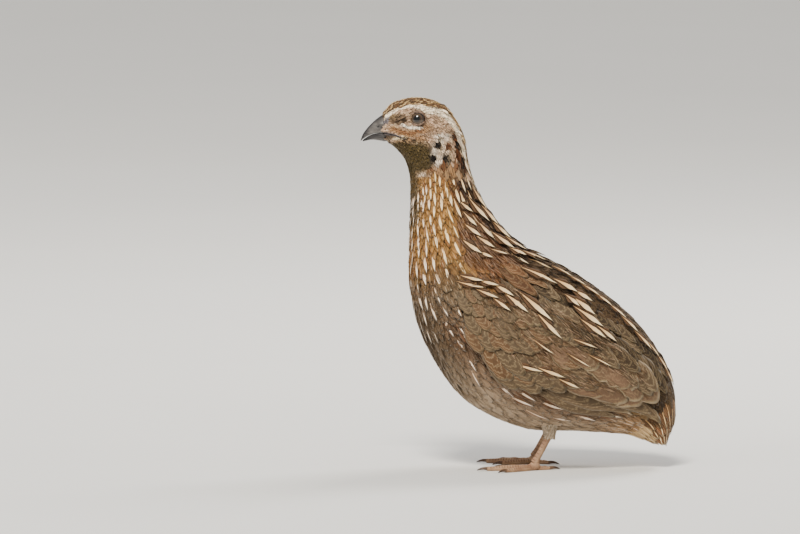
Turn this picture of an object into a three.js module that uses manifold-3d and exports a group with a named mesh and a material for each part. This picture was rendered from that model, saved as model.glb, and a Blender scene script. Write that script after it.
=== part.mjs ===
// A life-size coturnix quail cock, standing alert with its neck stretched up, as a museum would mount it.
//
// The frame is in millimetres with +Z up. The bill points along -Y, the bird's left side is +X, and the
// origin is on the floor, midway between the tip of the bill and the back of the tail.
//
// Head, neck, torso and tail are lengths of one smooth plumage surface. It runs through a row of flat
// sections, each named by the point that it has on the back line, the point that it has on the throat and
// belly line, and its half width. A place on that surface is a station t along the row and an angle a round
// the section: 0 on the back line, a quarter turn on the left side, half a turn on the belly line.
// Wings and tail carry vanes that follow the same surface at a small height above it.

import * as THREE from "three";
import { mergeVertices } from "three/addons/utils/BufferGeometryUtils.js";
import Module from "manifold-3d";

const wasm = await Module();
wasm.setup();

// Driving dimensions. A section is [back y, back z, belly y, belly z, half width, fullness below the middle].
const SECTIONS = {
  face: [-53.4, 136.4, -51.6, 126.0, 4.0, 0.05],
  forehead: [-48.6, 141.2, -47.9, 123.4, 6.8, 0.1],
  crown: [-38.5, 143.0, -44.3, 119.0, 8.9, 0.12],
  ear: [-28.9, 139.4, -42.4, 112.4, 9.6, 0.12],
  nape: [-21.9, 129.0, -42.2, 104.3, 9.3, 0.05],
  throat: [-19.3, 115.5, -42.5, 94.7, 9.9, 0],
  collar: [-13.5, 101.6, -42.7, 83.9, 12.6, 0],
  shoulder: [-0.8, 87.0, -42.2, 68.5, 18.6, 0.06],
  mantle: [17.3, 77.0, -36.6, 48.5, 23.8, 0.1],
  waist: [33.9, 66.2, -22.3, 27.3, 26.2, 0.1],
  saddle: [46.2, 54.7, 0.0, 15.8, 24.4, 0.08],
  rump: [54.7, 42.3, 21.2, 14.2, 17.6, 0.03],
  vent: [59.3, 30.0, 39.3, 13.0, 10.8, 0],
  tail_root: [59.6, 20.2, 47.4, 10.9, 9.2, 0],
  tail_end: [57.2, 11.0, 53.2, 8.4, 7.2, 0],
};
const ROUNDNESS = 0.92; // exponent on a section's sine and cosine: 1 is an ellipse, less is squarer
const NODE_GAP = 0.3; // clear space that touching pieces keep
const GAP_STATIONS = 0.028; // the same space as a share of one station
const HEAD_END = 4.25; // stations where the body is parted
const NECK_END = 6.85;
const TORSO_END = 12.0;
const TO_ORIGIN = 0.8; // moves the drawing along Y so that the origin is midway between bill and tail

const EYE = {
  y: -39.4, // where the eye is seen from the side
  z: 135.5,
  radius: 3.1,
  sink: 2.15, // depth of the ball's centre below the face
  lid: 0.6, // half thickness of the lids
  lid_sink: 0.15,
  lid_spread: 0.29,
  slant: 1.12, // length of the lids' ring for a unit of its height
};
// The line of the mouth in side view, from the bill back to the corner, as [y, z].
const MOUTH = [
  [-54.6, 129.4],
  [-51.4, 129.35],
  [-48.2, 128.85],
  [-45.5, 127.85],
  [-43.9, 127.35],
];
const MOUTH_SLOT = { height: 0.45, half_width: 15 };
const FACE_GAP_STATIONS = 0.07; // the gap in front of the face, as a share of one station
const BILL_ROOT = -52.3;
// Along each half of the bill: [top y, top z, bottom y, bottom z, half width].
const UPPER_BILL = [
  [BILL_ROOT, 136.7, BILL_ROOT, 129.6, 3.4],
  [-55.0, 134.8, -54.5, 129.5, 2.95],
  [-56.9, 133.1, -56.5, 129.1, 2.45],
  [-58.8, 131.1, -58.6, 128.2, 1.85],
  [-60.4, 128.9, -60.3, 127.1, 1.15],
  [-61.35, 126.6, -61.3, 126.1, 0.4],
];
const LOWER_BILL = [
  [BILL_ROOT, 129.15, BILL_ROOT, 125.95, 3.0],
  [-54.6, 129.05, -54.5, 126.35, 2.6],
  [-57.2, 128.45, -57.1, 126.6, 1.9],
  [-59.5, 127.2, -59.4, 126.2, 1.0],
  [-60.6, 126.35, -60.5, 125.95, 0.4],
];
const BILL_RINGS = 9;
// Half a section of the bill, from ridge to cutting edge: [share of half width, height from -1 to 1].
const BILL_PROFILE = [
  [0, 1],
  [0.42, 0.72],
  [0.8, 0.2],
  [1, -0.45],
  [0.9, -1],
  [0, -1],
];
// The nostril's slit and the flap over it: middle, then half sizes.
const NOSTRIL_SLIT = { x: 3.0, y: -54.6, z: 131.6, sizes: [0.8, 1.35, 0.3] };
const NOSTRIL_FLAP = { x: 2.3, y: -54.4, z: 132.6, sizes: [0.6, 1.8, 1.0] };

const WING = {
  front: 7.25, // stations of the plate that the feathers root in
  back: 11.75,
  inner: 0.55, // heights above the plumage surface
  middle: 1.8,
  edge: 1.2,
  vane: 0.55, // thickness of a vane
  shaft: 0.2, // rise of a vane's middle over its edges
};
const PLATE_CELLS = [12, 7]; // along the wing and across it
const VANE_STEPS = 3; // steps between two of a vane's rows
const VANE_RISE = 0.8; // exponent of the rise from root to tip
// Upper and lower edge of the folded wing, as shares of the way from back line to belly line.
const WING_TOP = [0.3, 0.22, 0.16, 0.13, 0.14, 0.2];
const WING_LOW = [0.68, 0.77, 0.7, 0.6, 0.5, 0.42];

const KNEE = { x: 12.0, y: 11.3, z: 12.8 };
// Down the drumstick: [y, z, half width].
const DRUMSTICK = [
  [11.5, 26.0, 6.6],
  [11.5, 18.5, 5.2],
  [11.3, 15.0, 3.6],
  [KNEE.y, KNEE.z, 2.3],
];
const DRUMSTICK_GAP = 0.38; // a little over NODE_GAP, because both surfaces are faceted
const SHANK = { radius: 1.25, scutes: 7, scute_rise: 0.14, scute_sink: 0.04, lap: 0.04, overlap: 0.8 };
const FOOT = { x: 12.6, y: 5.6, z: 2.2, pad: 2.0, turn: 8 };
const FOOT_CLEAR = { y: 6.2, z: 6.5, sizes: [4, 4, 2.4] }; // room above the foot for the shank's end
const TOES = {
  middle: { length: 18.5, heading: 0, radius: 1.2 },
  inner: { length: 13.5, heading: 30, radius: 1.1 },
  outer: { length: 14.5, heading: -32, radius: 1.1 },
  hind: { length: 6.5, heading: 168, radius: 0.9 },
};
// Along a toe, from the pad to the claw: shares of its length, and thickness there.
const TOE_PARTS = [0, 0.2, 0.34, 0.5, 0.66, 0.82, 1];
const KNUCKLES = [1.2, 0.98, 1.1, 0.9, 1.0, 0.78, 0.68];
const CLAW = {
  length: 4.0,
  radius: 0.62,
  bend: 0.25,
  drop: 0.5,
  parts: [0, 0.35, 0.7, 1],
  taper: [1, 0.85, 0.55, 0.16],
};

// Shared helpers

// Smooth value through evenly spaced numbers (Catmull-Rom), at position t.
function along(values, t) {
  const last = values.length - 1;
  const i = Math.min(Math.max(Math.floor(t), 0), last - 1);
  const u = t - i;
  const [p0, p1, p2, p3] = [i - 1, i, i + 1, i + 2].map((k) => {
    if (k < 0) return 2 * values[0] - values[1];
    if (k > last) return 2 * values[last] - values[last - 1];
    return values[k];
  });
  const bend = 2 * p0 - 5 * p1 + 4 * p2 - p3;
  const twist = 3 * p1 - p0 - 3 * p2 + p3;
  return p1 + 0.5 * u * (p2 - p0 + u * (bend + u * twist));
}

const columns = (rows) => rows[0].map((_, k) => rows.map((row) => row[k]));
const BODY = columns(Object.values(SECTIONS));
const signedPower = (v, e) => Math.sign(v) * Math.abs(v) ** e;

// A place on the plumage surface, in the drawing's own frame.
function skin(t, a) {
  const [backY, backZ, bellyY, bellyZ, half, low] = BODY.map((c) => along(c, t));
  const c = signedPower(Math.cos(a), ROUNDNESS);
  const s = signedPower(Math.sin(a), ROUNDNESS);
  return new THREE.Vector3(
    half * s * (1 - low * c),
    (backY + bellyY) / 2 + ((backY - bellyY) / 2) * c,
    (backZ + bellyZ) / 2 + ((backZ - bellyZ) / 2) * c,
  );
}

const STEP = 0.01;
const slopeAlong = (t, a) => skin(t + STEP, a).sub(skin(t - STEP, a)).divideScalar(2 * STEP);
const slopeRound = (t, a) => skin(t, a + STEP).sub(skin(t, a - STEP)).divideScalar(2 * STEP);
const outward = (t, a) => slopeRound(t, a).cross(slopeAlong(t, a)).normalize();
const raised = (t, a, height) => skin(t, a).addScaledVector(outward(t, a), height);

// Angle round a section at a share of the way from the back line to the belly line.
const angleAt = (share) => Math.acos(signedPower(1 - 2 * share, 1 / ROUNDNESS));
const shareAt = (angle) => (1 - signedPower(Math.cos(angle), ROUNDNESS)) / 2;

// The place on the left side that is seen at (y, z) from the side, searched between two stations.
function seenAt(y, z, from, to) {
  const offChord = (t) => {
    const [backY, backZ, bellyY, bellyZ] = BODY.map((c) => along(c, t));
    return (y - bellyY) * (backZ - bellyZ) - (z - bellyZ) * (backY - bellyY);
  };
  let [lo, hi] = [from, to];
  for (let i = 0; i < 40; i++) {
    const mid = (lo + hi) / 2;
    if (offChord(lo) * offChord(mid) <= 0) hi = mid;
    else lo = mid;
  }
  const [backY, backZ, bellyY, bellyZ] = BODY.map((c) => along(c, lo));
  const share = Math.hypot(y - backY, z - backZ) / Math.hypot(bellyY - backY, bellyZ - backZ);
  return { t: lo, a: angleAt(share) };
}

// A closed solid from points and triangles, turned to face outwards.
function closed(points, triangles) {
  let volume = 0;
  for (const [i, j, k] of triangles)
    volume += points[i].dot(points[j].clone().cross(points[k])) / 6;
  const faces = volume < 0 ? triangles.map(([i, j, k]) => [i, k, j]) : triangles;
  const geometry = new THREE.BufferGeometry().setFromPoints(points);
  geometry.setIndex(faces.flat());
  return solidOf(geometry);
}

// A three.js geometry as a solid that can be joined and cut.
function solidOf(geometry) {
  const bare = geometry.clone();
  bare.deleteAttribute("normal");
  bare.deleteAttribute("uv");
  const merged = mergeVertices(bare, 1e-4);
  const vertProperties = new Float32Array(merged.attributes.position.array);
  const triVerts = new Uint32Array(merged.index.array);
  return new wasm.Manifold(new wasm.Mesh({ numProp: 3, vertProperties, triVerts }));
}

// A solid through rings of equally many points, with a flat fan closing each end.
function loft(rings) {
  const n = rings[0].length;
  const points = rings.flat();
  const triangles = [];
  for (let r = 0; r + 1 < rings.length; r++)
    for (let k = 0; k < n; k++) {
      const [a, b] = [r * n + k, r * n + ((k + 1) % n)];
      triangles.push([a, b, a + n], [b, b + n, a + n]);
    }
  for (const [ring, first] of [[rings[0], 0], [rings.at(-1), points.length - n]]) {
    const hub = points.length;
    points.push(ring.reduce((sum, p) => sum.add(p), new THREE.Vector3()).divideScalar(n));
    for (let k = 0; k < n; k++) {
      const pair = [first + k, first + ((k + 1) % n)];
      triangles.push(first === 0 ? [hub, pair[1], pair[0]] : [hub, pair[0], pair[1]]);
    }
  }
  return closed(points, triangles);
}

// A sheet of even grid and some thickness: under and over are grids of points, row by row.
function slab(under, over) {
  const [rows, cols] = [under.length, under[0].length];
  const points = [...under.flat(), ...over.flat()];
  const top = rows * cols;
  const at = (r, c) => r * cols + c;
  const triangles = [];
  for (let r = 0; r + 1 < rows; r++)
    for (let c = 0; c + 1 < cols; c++) {
      const [p, q, s, w] = [at(r, c), at(r, c + 1), at(r + 1, c), at(r + 1, c + 1)];
      triangles.push([p, q, s], [q, w, s], [p + top, s + top, q + top], [q + top, s + top, w + top]);
    }
  const rim = [];
  for (let c = 0; c < cols; c++) rim.push(at(0, c));
  for (let r = 1; r < rows; r++) rim.push(at(r, cols - 1));
  for (let c = cols - 2; c >= 0; c--) rim.push(at(rows - 1, c));
  for (let r = rows - 2; r > 0; r--) rim.push(at(r, 0));
  rim.forEach((p, k) => {
    const q = rim[(k + 1) % rim.length];
    triangles.push([p, p + top, q], [q, p + top, q + top]);
  });
  return closed(points, triangles);
}

// A round tube through points, with a radius at each.
function tube(spine, radii, sides) {
  const up = new THREE.Vector3(1, 0, 0);
  return loft(
    spine.map((p, i) => {
      const ahead = spine[Math.min(i + 1, spine.length - 1)].clone();
      const way = ahead.sub(spine[Math.max(i - 1, 0)]).normalize();
      const side = new THREE.Vector3().crossVectors(way, up).normalize();
      const across = new THREE.Vector3().crossVectors(side, way);
      return Array.from({ length: sides }, (_, k) => {
        const turn = (2 * Math.PI * k) / sides;
        return p
          .clone()
          .addScaledVector(across, radii[i] * Math.cos(turn))
          .addScaledVector(side, radii[i] * Math.sin(turn));
      });
    }),
  );
}

// An egg-shaped lump with three half sizes.
function lump(x, y, z, sizes, detail = 12) {
  const ball = new THREE.SphereGeometry(1, detail, Math.round(detail * 0.7));
  return solidOf(ball.scale(...sizes).translate(x, y, z));
}

// Joins solids into one and keeps only its largest closed surface.
function fuse(solids) {
  const whole = solids.reduce((sum, next) => sum.add(next));
  return largest(whole);
}

function largest(solid) {
  const size = (s) => Math.abs(s.volume());
  return solid.decompose().reduce((best, next) => (size(next) > size(best) ? next : best));
}

const geometryOf = (solid) => {
  const mesh = solid.getMesh();
  const geometry = new THREE.BufferGeometry();
  geometry.setAttribute("position", new THREE.BufferAttribute(mesh.vertProperties, 3));
  geometry.setIndex(new THREE.BufferAttribute(mesh.triVerts, 1));
  return geometry;
};

// The same geometry on the bird's other side.
function mirrored(geometry) {
  const other = geometry.clone();
  other.scale(-1, 1, 1);
  const index = other.index.array.slice();
  for (let i = 0; i < index.length; i += 3) [index[i], index[i + 1]] = [index[i + 1], index[i]];
  other.setIndex(new THREE.BufferAttribute(index, 1));
  return other;
}

const finish = (color, roughness) =>
  new THREE.MeshStandardMaterial({ color, roughness, metalness: 0 });
const MATERIALS = {
  plumage: finish(0x8a6a4c, 0.9),
  wing: finish(0x7a5a40, 0.88),
  tail: finish(0x6e5038, 0.88),
  bill: finish(0x6d6a6c, 0.45),
  eye: finish(0x2a1a10, 0.08),
  shank: finish(0xc9a58a, 0.6),
  claw: finish(0x6b5548, 0.5),
};

const quail = new THREE.Group();
quail.position.y = TO_ORIGIN;

function add(name, geometry, material) {
  const mesh = new THREE.Mesh(geometry, MATERIALS[material]);
  mesh.name = name;
  quail.add(mesh);
}

// Adds a left piece and its mirror image.
function addPair(name, solid, material) {
  const geometry = geometryOf(solid);
  add(`${name}_left`, geometry, material);
  add(`${name}_right`, mirrored(geometry), material);
}

// A length of the body, from one station to another
function bodyLength(from, to, steps, sides, height = 0) {
  return loft(
    Array.from({ length: steps + 1 }, (_, i) => {
      const t = from + ((to - from) * i) / steps;
      return Array.from({ length: sides }, (_, k) => raised(t, (2 * Math.PI * (k + 0.5)) / sides, height));
    }),
  );
}

const torso = (height = 0) => bodyLength(NECK_END, TORSO_END, 15, 28, height);

// Head, with eye sockets, lids and the slot of the mouth
const eyePlace = seenAt(EYE.y, EYE.z, 1.2, 3.2);
const eyeFace = skin(eyePlace.t, eyePlace.a);
const eyeWay = outward(eyePlace.t, eyePlace.a);
const eyeCentre = eyeFace.clone().addScaledVector(eyeWay, -EYE.sink);

function lidRing() {
  const opening = Math.sqrt(EYE.radius ** 2 - (EYE.sink - EYE.lid_sink) ** 2);
  const ring = new THREE.TorusGeometry(opening + EYE.lid_spread, EYE.lid, 6, 16);
  const back = new THREE.Vector3(0, 1, 0).projectOnPlane(eyeWay).normalize();
  const facing = new THREE.Matrix4().makeBasis(back, eyeWay.clone().cross(back), eyeWay);
  const place = eyeFace.clone().addScaledVector(eyeWay, -EYE.lid_sink);
  return ring.scale(EYE.slant, 1, 1).applyMatrix4(facing).translate(...place.toArray());
}

function eyeBall(growth) {
  const ball = new THREE.SphereGeometry(EYE.radius + growth, 16, 9);
  return ball.translate(...eyeCentre.toArray());
}

// The slot runs from the bill's root to the corner of the mouth, right across the head.
function mouthSlot() {
  const [half, wide] = [MOUTH_SLOT.height / 2, MOUTH_SLOT.half_width];
  const rings = MOUTH.map(([y, z]) => [
    new THREE.Vector3(-wide, y, z - half),
    new THREE.Vector3(wide, y, z - half),
    new THREE.Vector3(wide, y, z + half),
    new THREE.Vector3(-wide, y, z + half),
  ]);
  return loft(rings);
}

function head() {
  const both = (geometry) => [solidOf(geometry), solidOf(mirrored(geometry))];
  const lids = both(lidRing());
  const sockets = both(eyeBall(NODE_GAP));
  const cheeks = bodyLength(0, HEAD_END - GAP_STATIONS, 12, 26);
  const whole = lids.reduce((sum, lid) => sum.add(lid), cheeks);
  const open = sockets.reduce((rest, socket) => rest.subtract(socket), whole);
  return largest(open.subtract(mouthSlot()));
}

// Half of the bill: sections with a ridge above or below, closed to a blunt point and clear of the face
function billHalf(rows, ridge) {
  const table = columns(rows);
  const otherSide = BILL_PROFILE.slice(1, -1).reverse().map(([x, h]) => [-x, h]);
  const rings = Array.from({ length: BILL_RINGS + 1 }, (_, i) => {
    const t = ((rows.length - 1) * i) / BILL_RINGS;
    const [topY, topZ, lowY, lowZ, half] = table.map((c) => along(c, t));
    return [...BILL_PROFILE, ...otherSide].map(([x, h]) => {
      const share = (1 + h * ridge) / 2;
      return new THREE.Vector3(x * half, lowY + (topY - lowY) * share, lowZ + (topZ - lowZ) * share);
    });
  });
  return loft(rings);
}

const clearOfFace = (solid) => solid.subtract(bodyLength(-FACE_GAP_STATIONS, 1, 3, 26, NODE_GAP));

function upperBill() {
  const pair = ({ x, y, z, sizes }) => [lump(x, y, z, sizes, 8), lump(-x, y, z, sizes, 8)];
  const horn = pair(NOSTRIL_FLAP).reduce((sum, flap) => sum.add(flap), billHalf(UPPER_BILL, 1));
  const open = pair(NOSTRIL_SLIT).reduce((rest, slit) => rest.subtract(slit), horn);
  return largest(clearOfFace(open));
}

const lowerBill = () => largest(clearOfFace(billHalf(LOWER_BILL, -1)));

// Vanes that lie along the plumage surface

// Moves a place (t, a) by a vector in the surface.
function moved(t, a, vector) {
  const [u, v] = [slopeAlong(t, a), slopeRound(t, a)];
  const [uu, uv, vv] = [u.dot(u), u.dot(v), v.dot(v)];
  const [pu, pv] = [vector.dot(u), vector.dot(v)];
  const det = uu * vv - uv * uv;
  return [t + (vv * pu - uv * pv) / det, a + (uu * pv - uv * pu) / det];
}

// Half width along a vane, as a share of its greatest: [share of the length, share of the width]
const ROUND_TIP = [[0, 0.6], [0.4, 1], [0.8, 0.92], [1, 0.36]];
const POINTED = [[0, 0.6], [0.4, 1], [0.75, 0.72], [1, 0.2]];
const LONG = [[0, 0.6], [0.3, 1], [0.6, 1], [0.86, 0.84], [1, 0.34]];

// One vane rooted at station t and share of the way down the side. It runs backwards along the surface,
// turned down by lean degrees, and rises from the height root to the height tip. One edge is held higher,
// so that neighbours lie over one another like tiles.
function vane({ t, share, length, width, lean = 0, root, tip, outline = ROUND_TIP, roll = 0.25 }) {
  const spots = [];
  let [u, a, gone] = [t, angleAt(share), 0];
  for (const [part, wide] of outline) {
    const lie = slopeAlong(u, a).normalize();
    const down = outward(u, a).cross(lie).negate();
    const turn = THREE.MathUtils.degToRad(lean);
    const way = lie.multiplyScalar(Math.cos(turn)).addScaledVector(down, Math.sin(turn));
    const step = way.clone().multiplyScalar(((part - gone) * length) / VANE_STEPS);
    for (let i = 0; i < VANE_STEPS; i++) [u, a] = moved(u, a, step);
    gone = part;
    const across = outward(u, a).cross(way).normalize();
    const height = root + (tip - root) * part ** VANE_RISE;
    spots.push({ u, a, across, half: (wide * width) / 2, height });
  }
  const grid = (extra) =>
    spots.map(({ u: su, a: sa, across, half, height }) =>
      [-1, 0, 1].map((side) => {
        const [pu, pa] = moved(su, sa, across.clone().multiplyScalar(side * half));
        return raised(pu, pa, height + extra + side * roll + (side === 0 ? WING.shaft : 0));
      }),
    );
  return slab(grid(0), grid(WING.vane));
}

// The folded wing: a plate on the flank that carries its feathers in tiers, from shoulder to tip
function wingPlate() {
  const [cols, rows] = PLATE_CELLS;
  const place = (i, j) => {
    const part = i / cols;
    const t = WING.front + (WING.back - WING.front) * part;
    const reach = part * (WING_TOP.length - 1);
    const share = THREE.MathUtils.lerp(along(WING_TOP, reach), along(WING_LOW, reach), j / rows);
    const swell = Math.sqrt(Math.sin((Math.PI * i) / cols) * Math.sin((Math.PI * j) / rows));
    return { t, a: angleAt(share), over: WING.edge + (WING.middle - WING.edge) * swell };
  };
  const grid = (height) =>
    Array.from({ length: cols + 1 }, (_, i) =>
      Array.from({ length: rows + 1 }, (_, j) => {
        const { t, a, over } = place(i, j);
        return raised(t, a, height ?? over);
      }),
    );
  return slab(grid(WING.inner), grid());
}

// Tiers of the wing, from under to over. Each runs from its first to its last feather, by station and share.
const WING_TIERS = {
  primaries: {
    count: 3,
    from: [9.4, 0.67],
    to: [10.0, 0.53],
    length: 40,
    width: 7.5,
    lean: -2,
    root: 1.3,
    tip: 2.3,
    outline: LONG,
    roll: 0.45,
  },
  tertials: {
    count: 4,
    from: [9.45, 0.5],
    to: [9.8, 0.24],
    length: 32,
    width: 11,
    lean: 1,
    root: 1.3,
    tip: 2.5,
    outline: LONG,
    roll: 0.45,
  },
  greater: {
    count: 5,
    from: [8.4, 0.7],
    to: [9.2, 0.36],
    length: 22,
    width: 8.8,
    lean: 2,
    root: 1.25,
    tip: 2.6,
    outline: ROUND_TIP,
    roll: 0.45,
  },
  median: {
    count: 5,
    from: [7.8, 0.68],
    to: [8.55, 0.34],
    length: 17,
    width: 8.2,
    lean: 3,
    root: 1.25,
    tip: 2.8,
    outline: ROUND_TIP,
    roll: 0.45,
  },
  lesser: {
    count: 4,
    from: [7.42, 0.62],
    to: [7.85, 0.37],
    length: 13,
    width: 7.6,
    lean: 4,
    root: 1.2,
    tip: 2.9,
    outline: ROUND_TIP,
    roll: 0.4,
  },
  scapulars: {
    count: 5,
    from: [7.5, 0.31],
    to: [10.2, 0.18],
    length: 22,
    width: 8.4,
    lean: 7,
    root: 1.5,
    tip: 3.2,
    outline: POINTED,
    roll: 0.4,
  },
};

function tier({ count, from, to, ...shape }) {
  return Array.from({ length: count }, (_, i) => {
    const part = i / (count - 1);
    const t = THREE.MathUtils.lerp(from[0], to[0], part);
    const share = THREE.MathUtils.lerp(from[1], to[1], part);
    return vane({ t, share, ...shape });
  });
}

const wing = () => fuse([wingPlate(), ...Object.values(WING_TIERS).flatMap(tier)]);

// The tail: a core from the vent, with coverts over the roots of the feathers that end it. Each row runs
// from the middle of the back to its outermost feather, by angle, and from one station to another.
const RECTRICES = {
  count: 4,
  start: 0.22,
  spread: 1.5,
  from: 12.6,
  to: 13.98,
  width: 5.2,
  root: -0.9,
  tip: 0.2,
};
const TAIL_COVERTS = {
  count: 3,
  start: 0.22,
  spread: 1.35,
  from: 12.25,
  to: 13.3,
  width: 7.4,
  root: -0.6,
  tip: 1.0,
};
const UNDER_COVERTS = {
  count: 2,
  start: 2.3,
  spread: 2.9,
  from: 12.25,
  to: 13.6,
  width: 6,
  root: -0.8,
  tip: 0.5,
};
const TAIL_ROLL = 0.3;
const TAIL_CORE = { end: 13.1, height: -0.3 };

function tailRow({ count, start, spread, from, to, ...shape }) {
  const vanes = [];
  for (let i = 0; i < count; i++) {
    const angle = start + ((spread - start) * i) / (count - 1);
    const share = shareAt(angle);
    const length = skin(from, angle).distanceTo(skin(to, angle));
    const left = vane({ t: from, share, length, outline: ROUND_TIP, roll: TAIL_ROLL, ...shape });
    vanes.push(left, solidOf(mirrored(geometryOf(left))));
  }
  return vanes;
}

function tail() {
  const core = bodyLength(TORSO_END + GAP_STATIONS, TAIL_CORE.end, 4, 20, TAIL_CORE.height);
  const rows = [RECTRICES, TAIL_COVERTS, UNDER_COVERTS].flatMap(tailRow);
  const clearance = bodyLength(9, TORSO_END + GAP_STATIONS, 12, 32, NODE_GAP);
  return largest(fuse([core, ...rows]).subtract(clearance));
}

// Legs: the feathered drumstick's end, the scaled shank, and the foot with its toes and claws
function drumstick() {
  const spine = DRUMSTICK.map(([y, z]) => new THREE.Vector3(KNEE.x, y, z));
  const widths = DRUMSTICK.map((row) => row[2]);
  const clearance = bodyLength(9, 11.9, 12, 32, DRUMSTICK_GAP);
  return largest(tube(spine, widths, 12).subtract(clearance));
}

function shank() {
  const top = new THREE.Vector3(KNEE.x, KNEE.y + 0.3, KNEE.z + SHANK.overlap);
  const foot = new THREE.Vector3(FOOT.x, FOOT.y, FOOT.z + FOOT.pad * 0.8);
  const [spine, radii] = [[top], [SHANK.radius]];
  for (let i = 0; i < SHANK.scutes; i++) {
    const edge = (i + 0.9) / SHANK.scutes;
    spine.push(top.clone().lerp(foot, edge - SHANK.lap), top.clone().lerp(foot, edge));
    radii.push(SHANK.radius + SHANK.scute_rise, SHANK.radius - SHANK.scute_sink);
  }
  const room = 9; // larger than the shank on every side
  const above = new THREE.BoxGeometry(room, room, room);
  above.translate(KNEE.x, KNEE.y, KNEE.z - NODE_GAP + room / 2);
  return largest(tube(spine, radii, 10).subtract(solidOf(above)));
}

// Points along a toe on the floor, from the pad to the claw's root.
function toeLine({ length, heading, radius }) {
  const turn = THREE.MathUtils.degToRad(heading - FOOT.turn);
  return TOE_PARTS.map((part) => {
    const out = part * length;
    const lift = radius * (0.8 - 0.15 * part) + (part === 0 ? 0.5 : 0);
    return new THREE.Vector3(FOOT.x - Math.sin(turn) * out, FOOT.y - Math.cos(turn) * out, lift);
  });
}

// Flattens what would reach below the floor, as a soft sole does.
function onFloor(solid) {
  const geometry = geometryOf(solid);
  const place = geometry.attributes.position;
  for (let i = 0; i < place.count; i++) place.setZ(i, Math.max(place.getZ(i), 0));
  return solidOf(geometry);
}

const toe = (shape) => onFloor(tube(toeLine(shape), KNUCKLES.map((k) => k * shape.radius), 10));

function foot() {
  const sizes = [FOOT.pad, FOOT.pad * 1.1, FOOT.pad * 0.9];
  const pad = onFloor(lump(FOOT.x, FOOT.y, FOOT.z * 0.8, sizes, 10));
  const clearOfShank = lump(FOOT.x, FOOT_CLEAR.y, FOOT_CLEAR.z, FOOT_CLEAR.sizes, 9);
  return largest(fuse([pad, ...Object.values(TOES).map(toe)]).subtract(clearOfShank));
}

function claw(shape) {
  const line = toeLine(shape);
  const way = line.at(-1).clone().sub(line.at(-2)).setZ(0).normalize();
  const start = line.at(-1).clone().addScaledVector(way, NODE_GAP);
  const spine = CLAW.parts.map((part) => {
    const height = start.z + CLAW.bend * Math.sin(Math.PI * part) - CLAW.drop * part ** 2;
    return start.clone().addScaledVector(way, part * CLAW.length).setZ(height);
  });
  return tube(spine, CLAW.taper.map((k) => k * CLAW.radius), 7);
}

add("head", geometryOf(head()), "plumage");
addPair("eye", solidOf(eyeBall(0)), "eye");
add("bill_upper", geometryOf(upperBill()), "bill");
add("bill_lower", geometryOf(lowerBill()), "bill");
add("neck", geometryOf(bodyLength(HEAD_END, NECK_END - GAP_STATIONS, 7, 24)), "plumage");
add("torso", geometryOf(torso()), "plumage");
addPair("wing", wing(), "wing");
add("tail", geometryOf(tail()), "tail");
addPair("drumstick", drumstick(), "plumage");
addPair("shank", shank(), "shank");
addPair("foot", foot(), "shank");
for (const [name, shape] of Object.entries(TOES)) addPair(`claw_${name}`, claw(shape), "claw");

export default quail;
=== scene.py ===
# %% [markdown]
# # A coturnix quail cock, life size
# The bird stands alert with its neck stretched up, as a museum would mount it. Under the feathers of a
# real bird lies a skin, and each feather grows out of it at a low angle and lies over the next one behind
# it, like a roof tile. This lesson builds it the same way: one skin, then the feathers, tract by tract,
# then bill, eyes, legs and claws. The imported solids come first, because every new piece has to sit where
# they are.

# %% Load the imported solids
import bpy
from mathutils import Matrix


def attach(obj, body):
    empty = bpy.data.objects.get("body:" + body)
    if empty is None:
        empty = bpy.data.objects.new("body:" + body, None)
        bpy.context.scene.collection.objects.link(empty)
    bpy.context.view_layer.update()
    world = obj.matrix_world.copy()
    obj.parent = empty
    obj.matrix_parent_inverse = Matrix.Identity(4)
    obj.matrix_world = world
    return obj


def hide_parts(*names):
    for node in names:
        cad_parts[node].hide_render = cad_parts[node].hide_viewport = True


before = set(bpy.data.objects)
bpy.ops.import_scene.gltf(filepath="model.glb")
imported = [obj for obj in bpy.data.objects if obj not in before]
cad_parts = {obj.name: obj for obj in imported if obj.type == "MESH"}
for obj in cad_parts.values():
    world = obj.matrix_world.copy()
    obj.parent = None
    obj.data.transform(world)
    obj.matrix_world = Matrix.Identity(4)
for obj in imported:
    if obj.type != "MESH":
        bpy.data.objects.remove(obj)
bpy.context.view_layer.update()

# %% Tools of the trade
import math

import bpy
import numpy as np
from mathutils import Vector

MM = 0.001  # lengths below are in millimetres, and meshes are in metres
draw = np.random.default_rng(7)

# %% [markdown]
# ## One surface for the whole plumage
# A bird's outline is smooth from crown to tail, because the feathers fill every hollow. It could be
# sculpted, but a formula is easier to hang thousands of feathers on. Here flat sections run down the
# body. Each has a point on the back line, a point on the throat and belly line and a half width, and a
# smooth curve runs through them. A place is then two numbers: the station t, from bill to tail, and the
# angle a round the section, 0 on the back, a quarter turn on the left side, half a turn on the belly.

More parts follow.
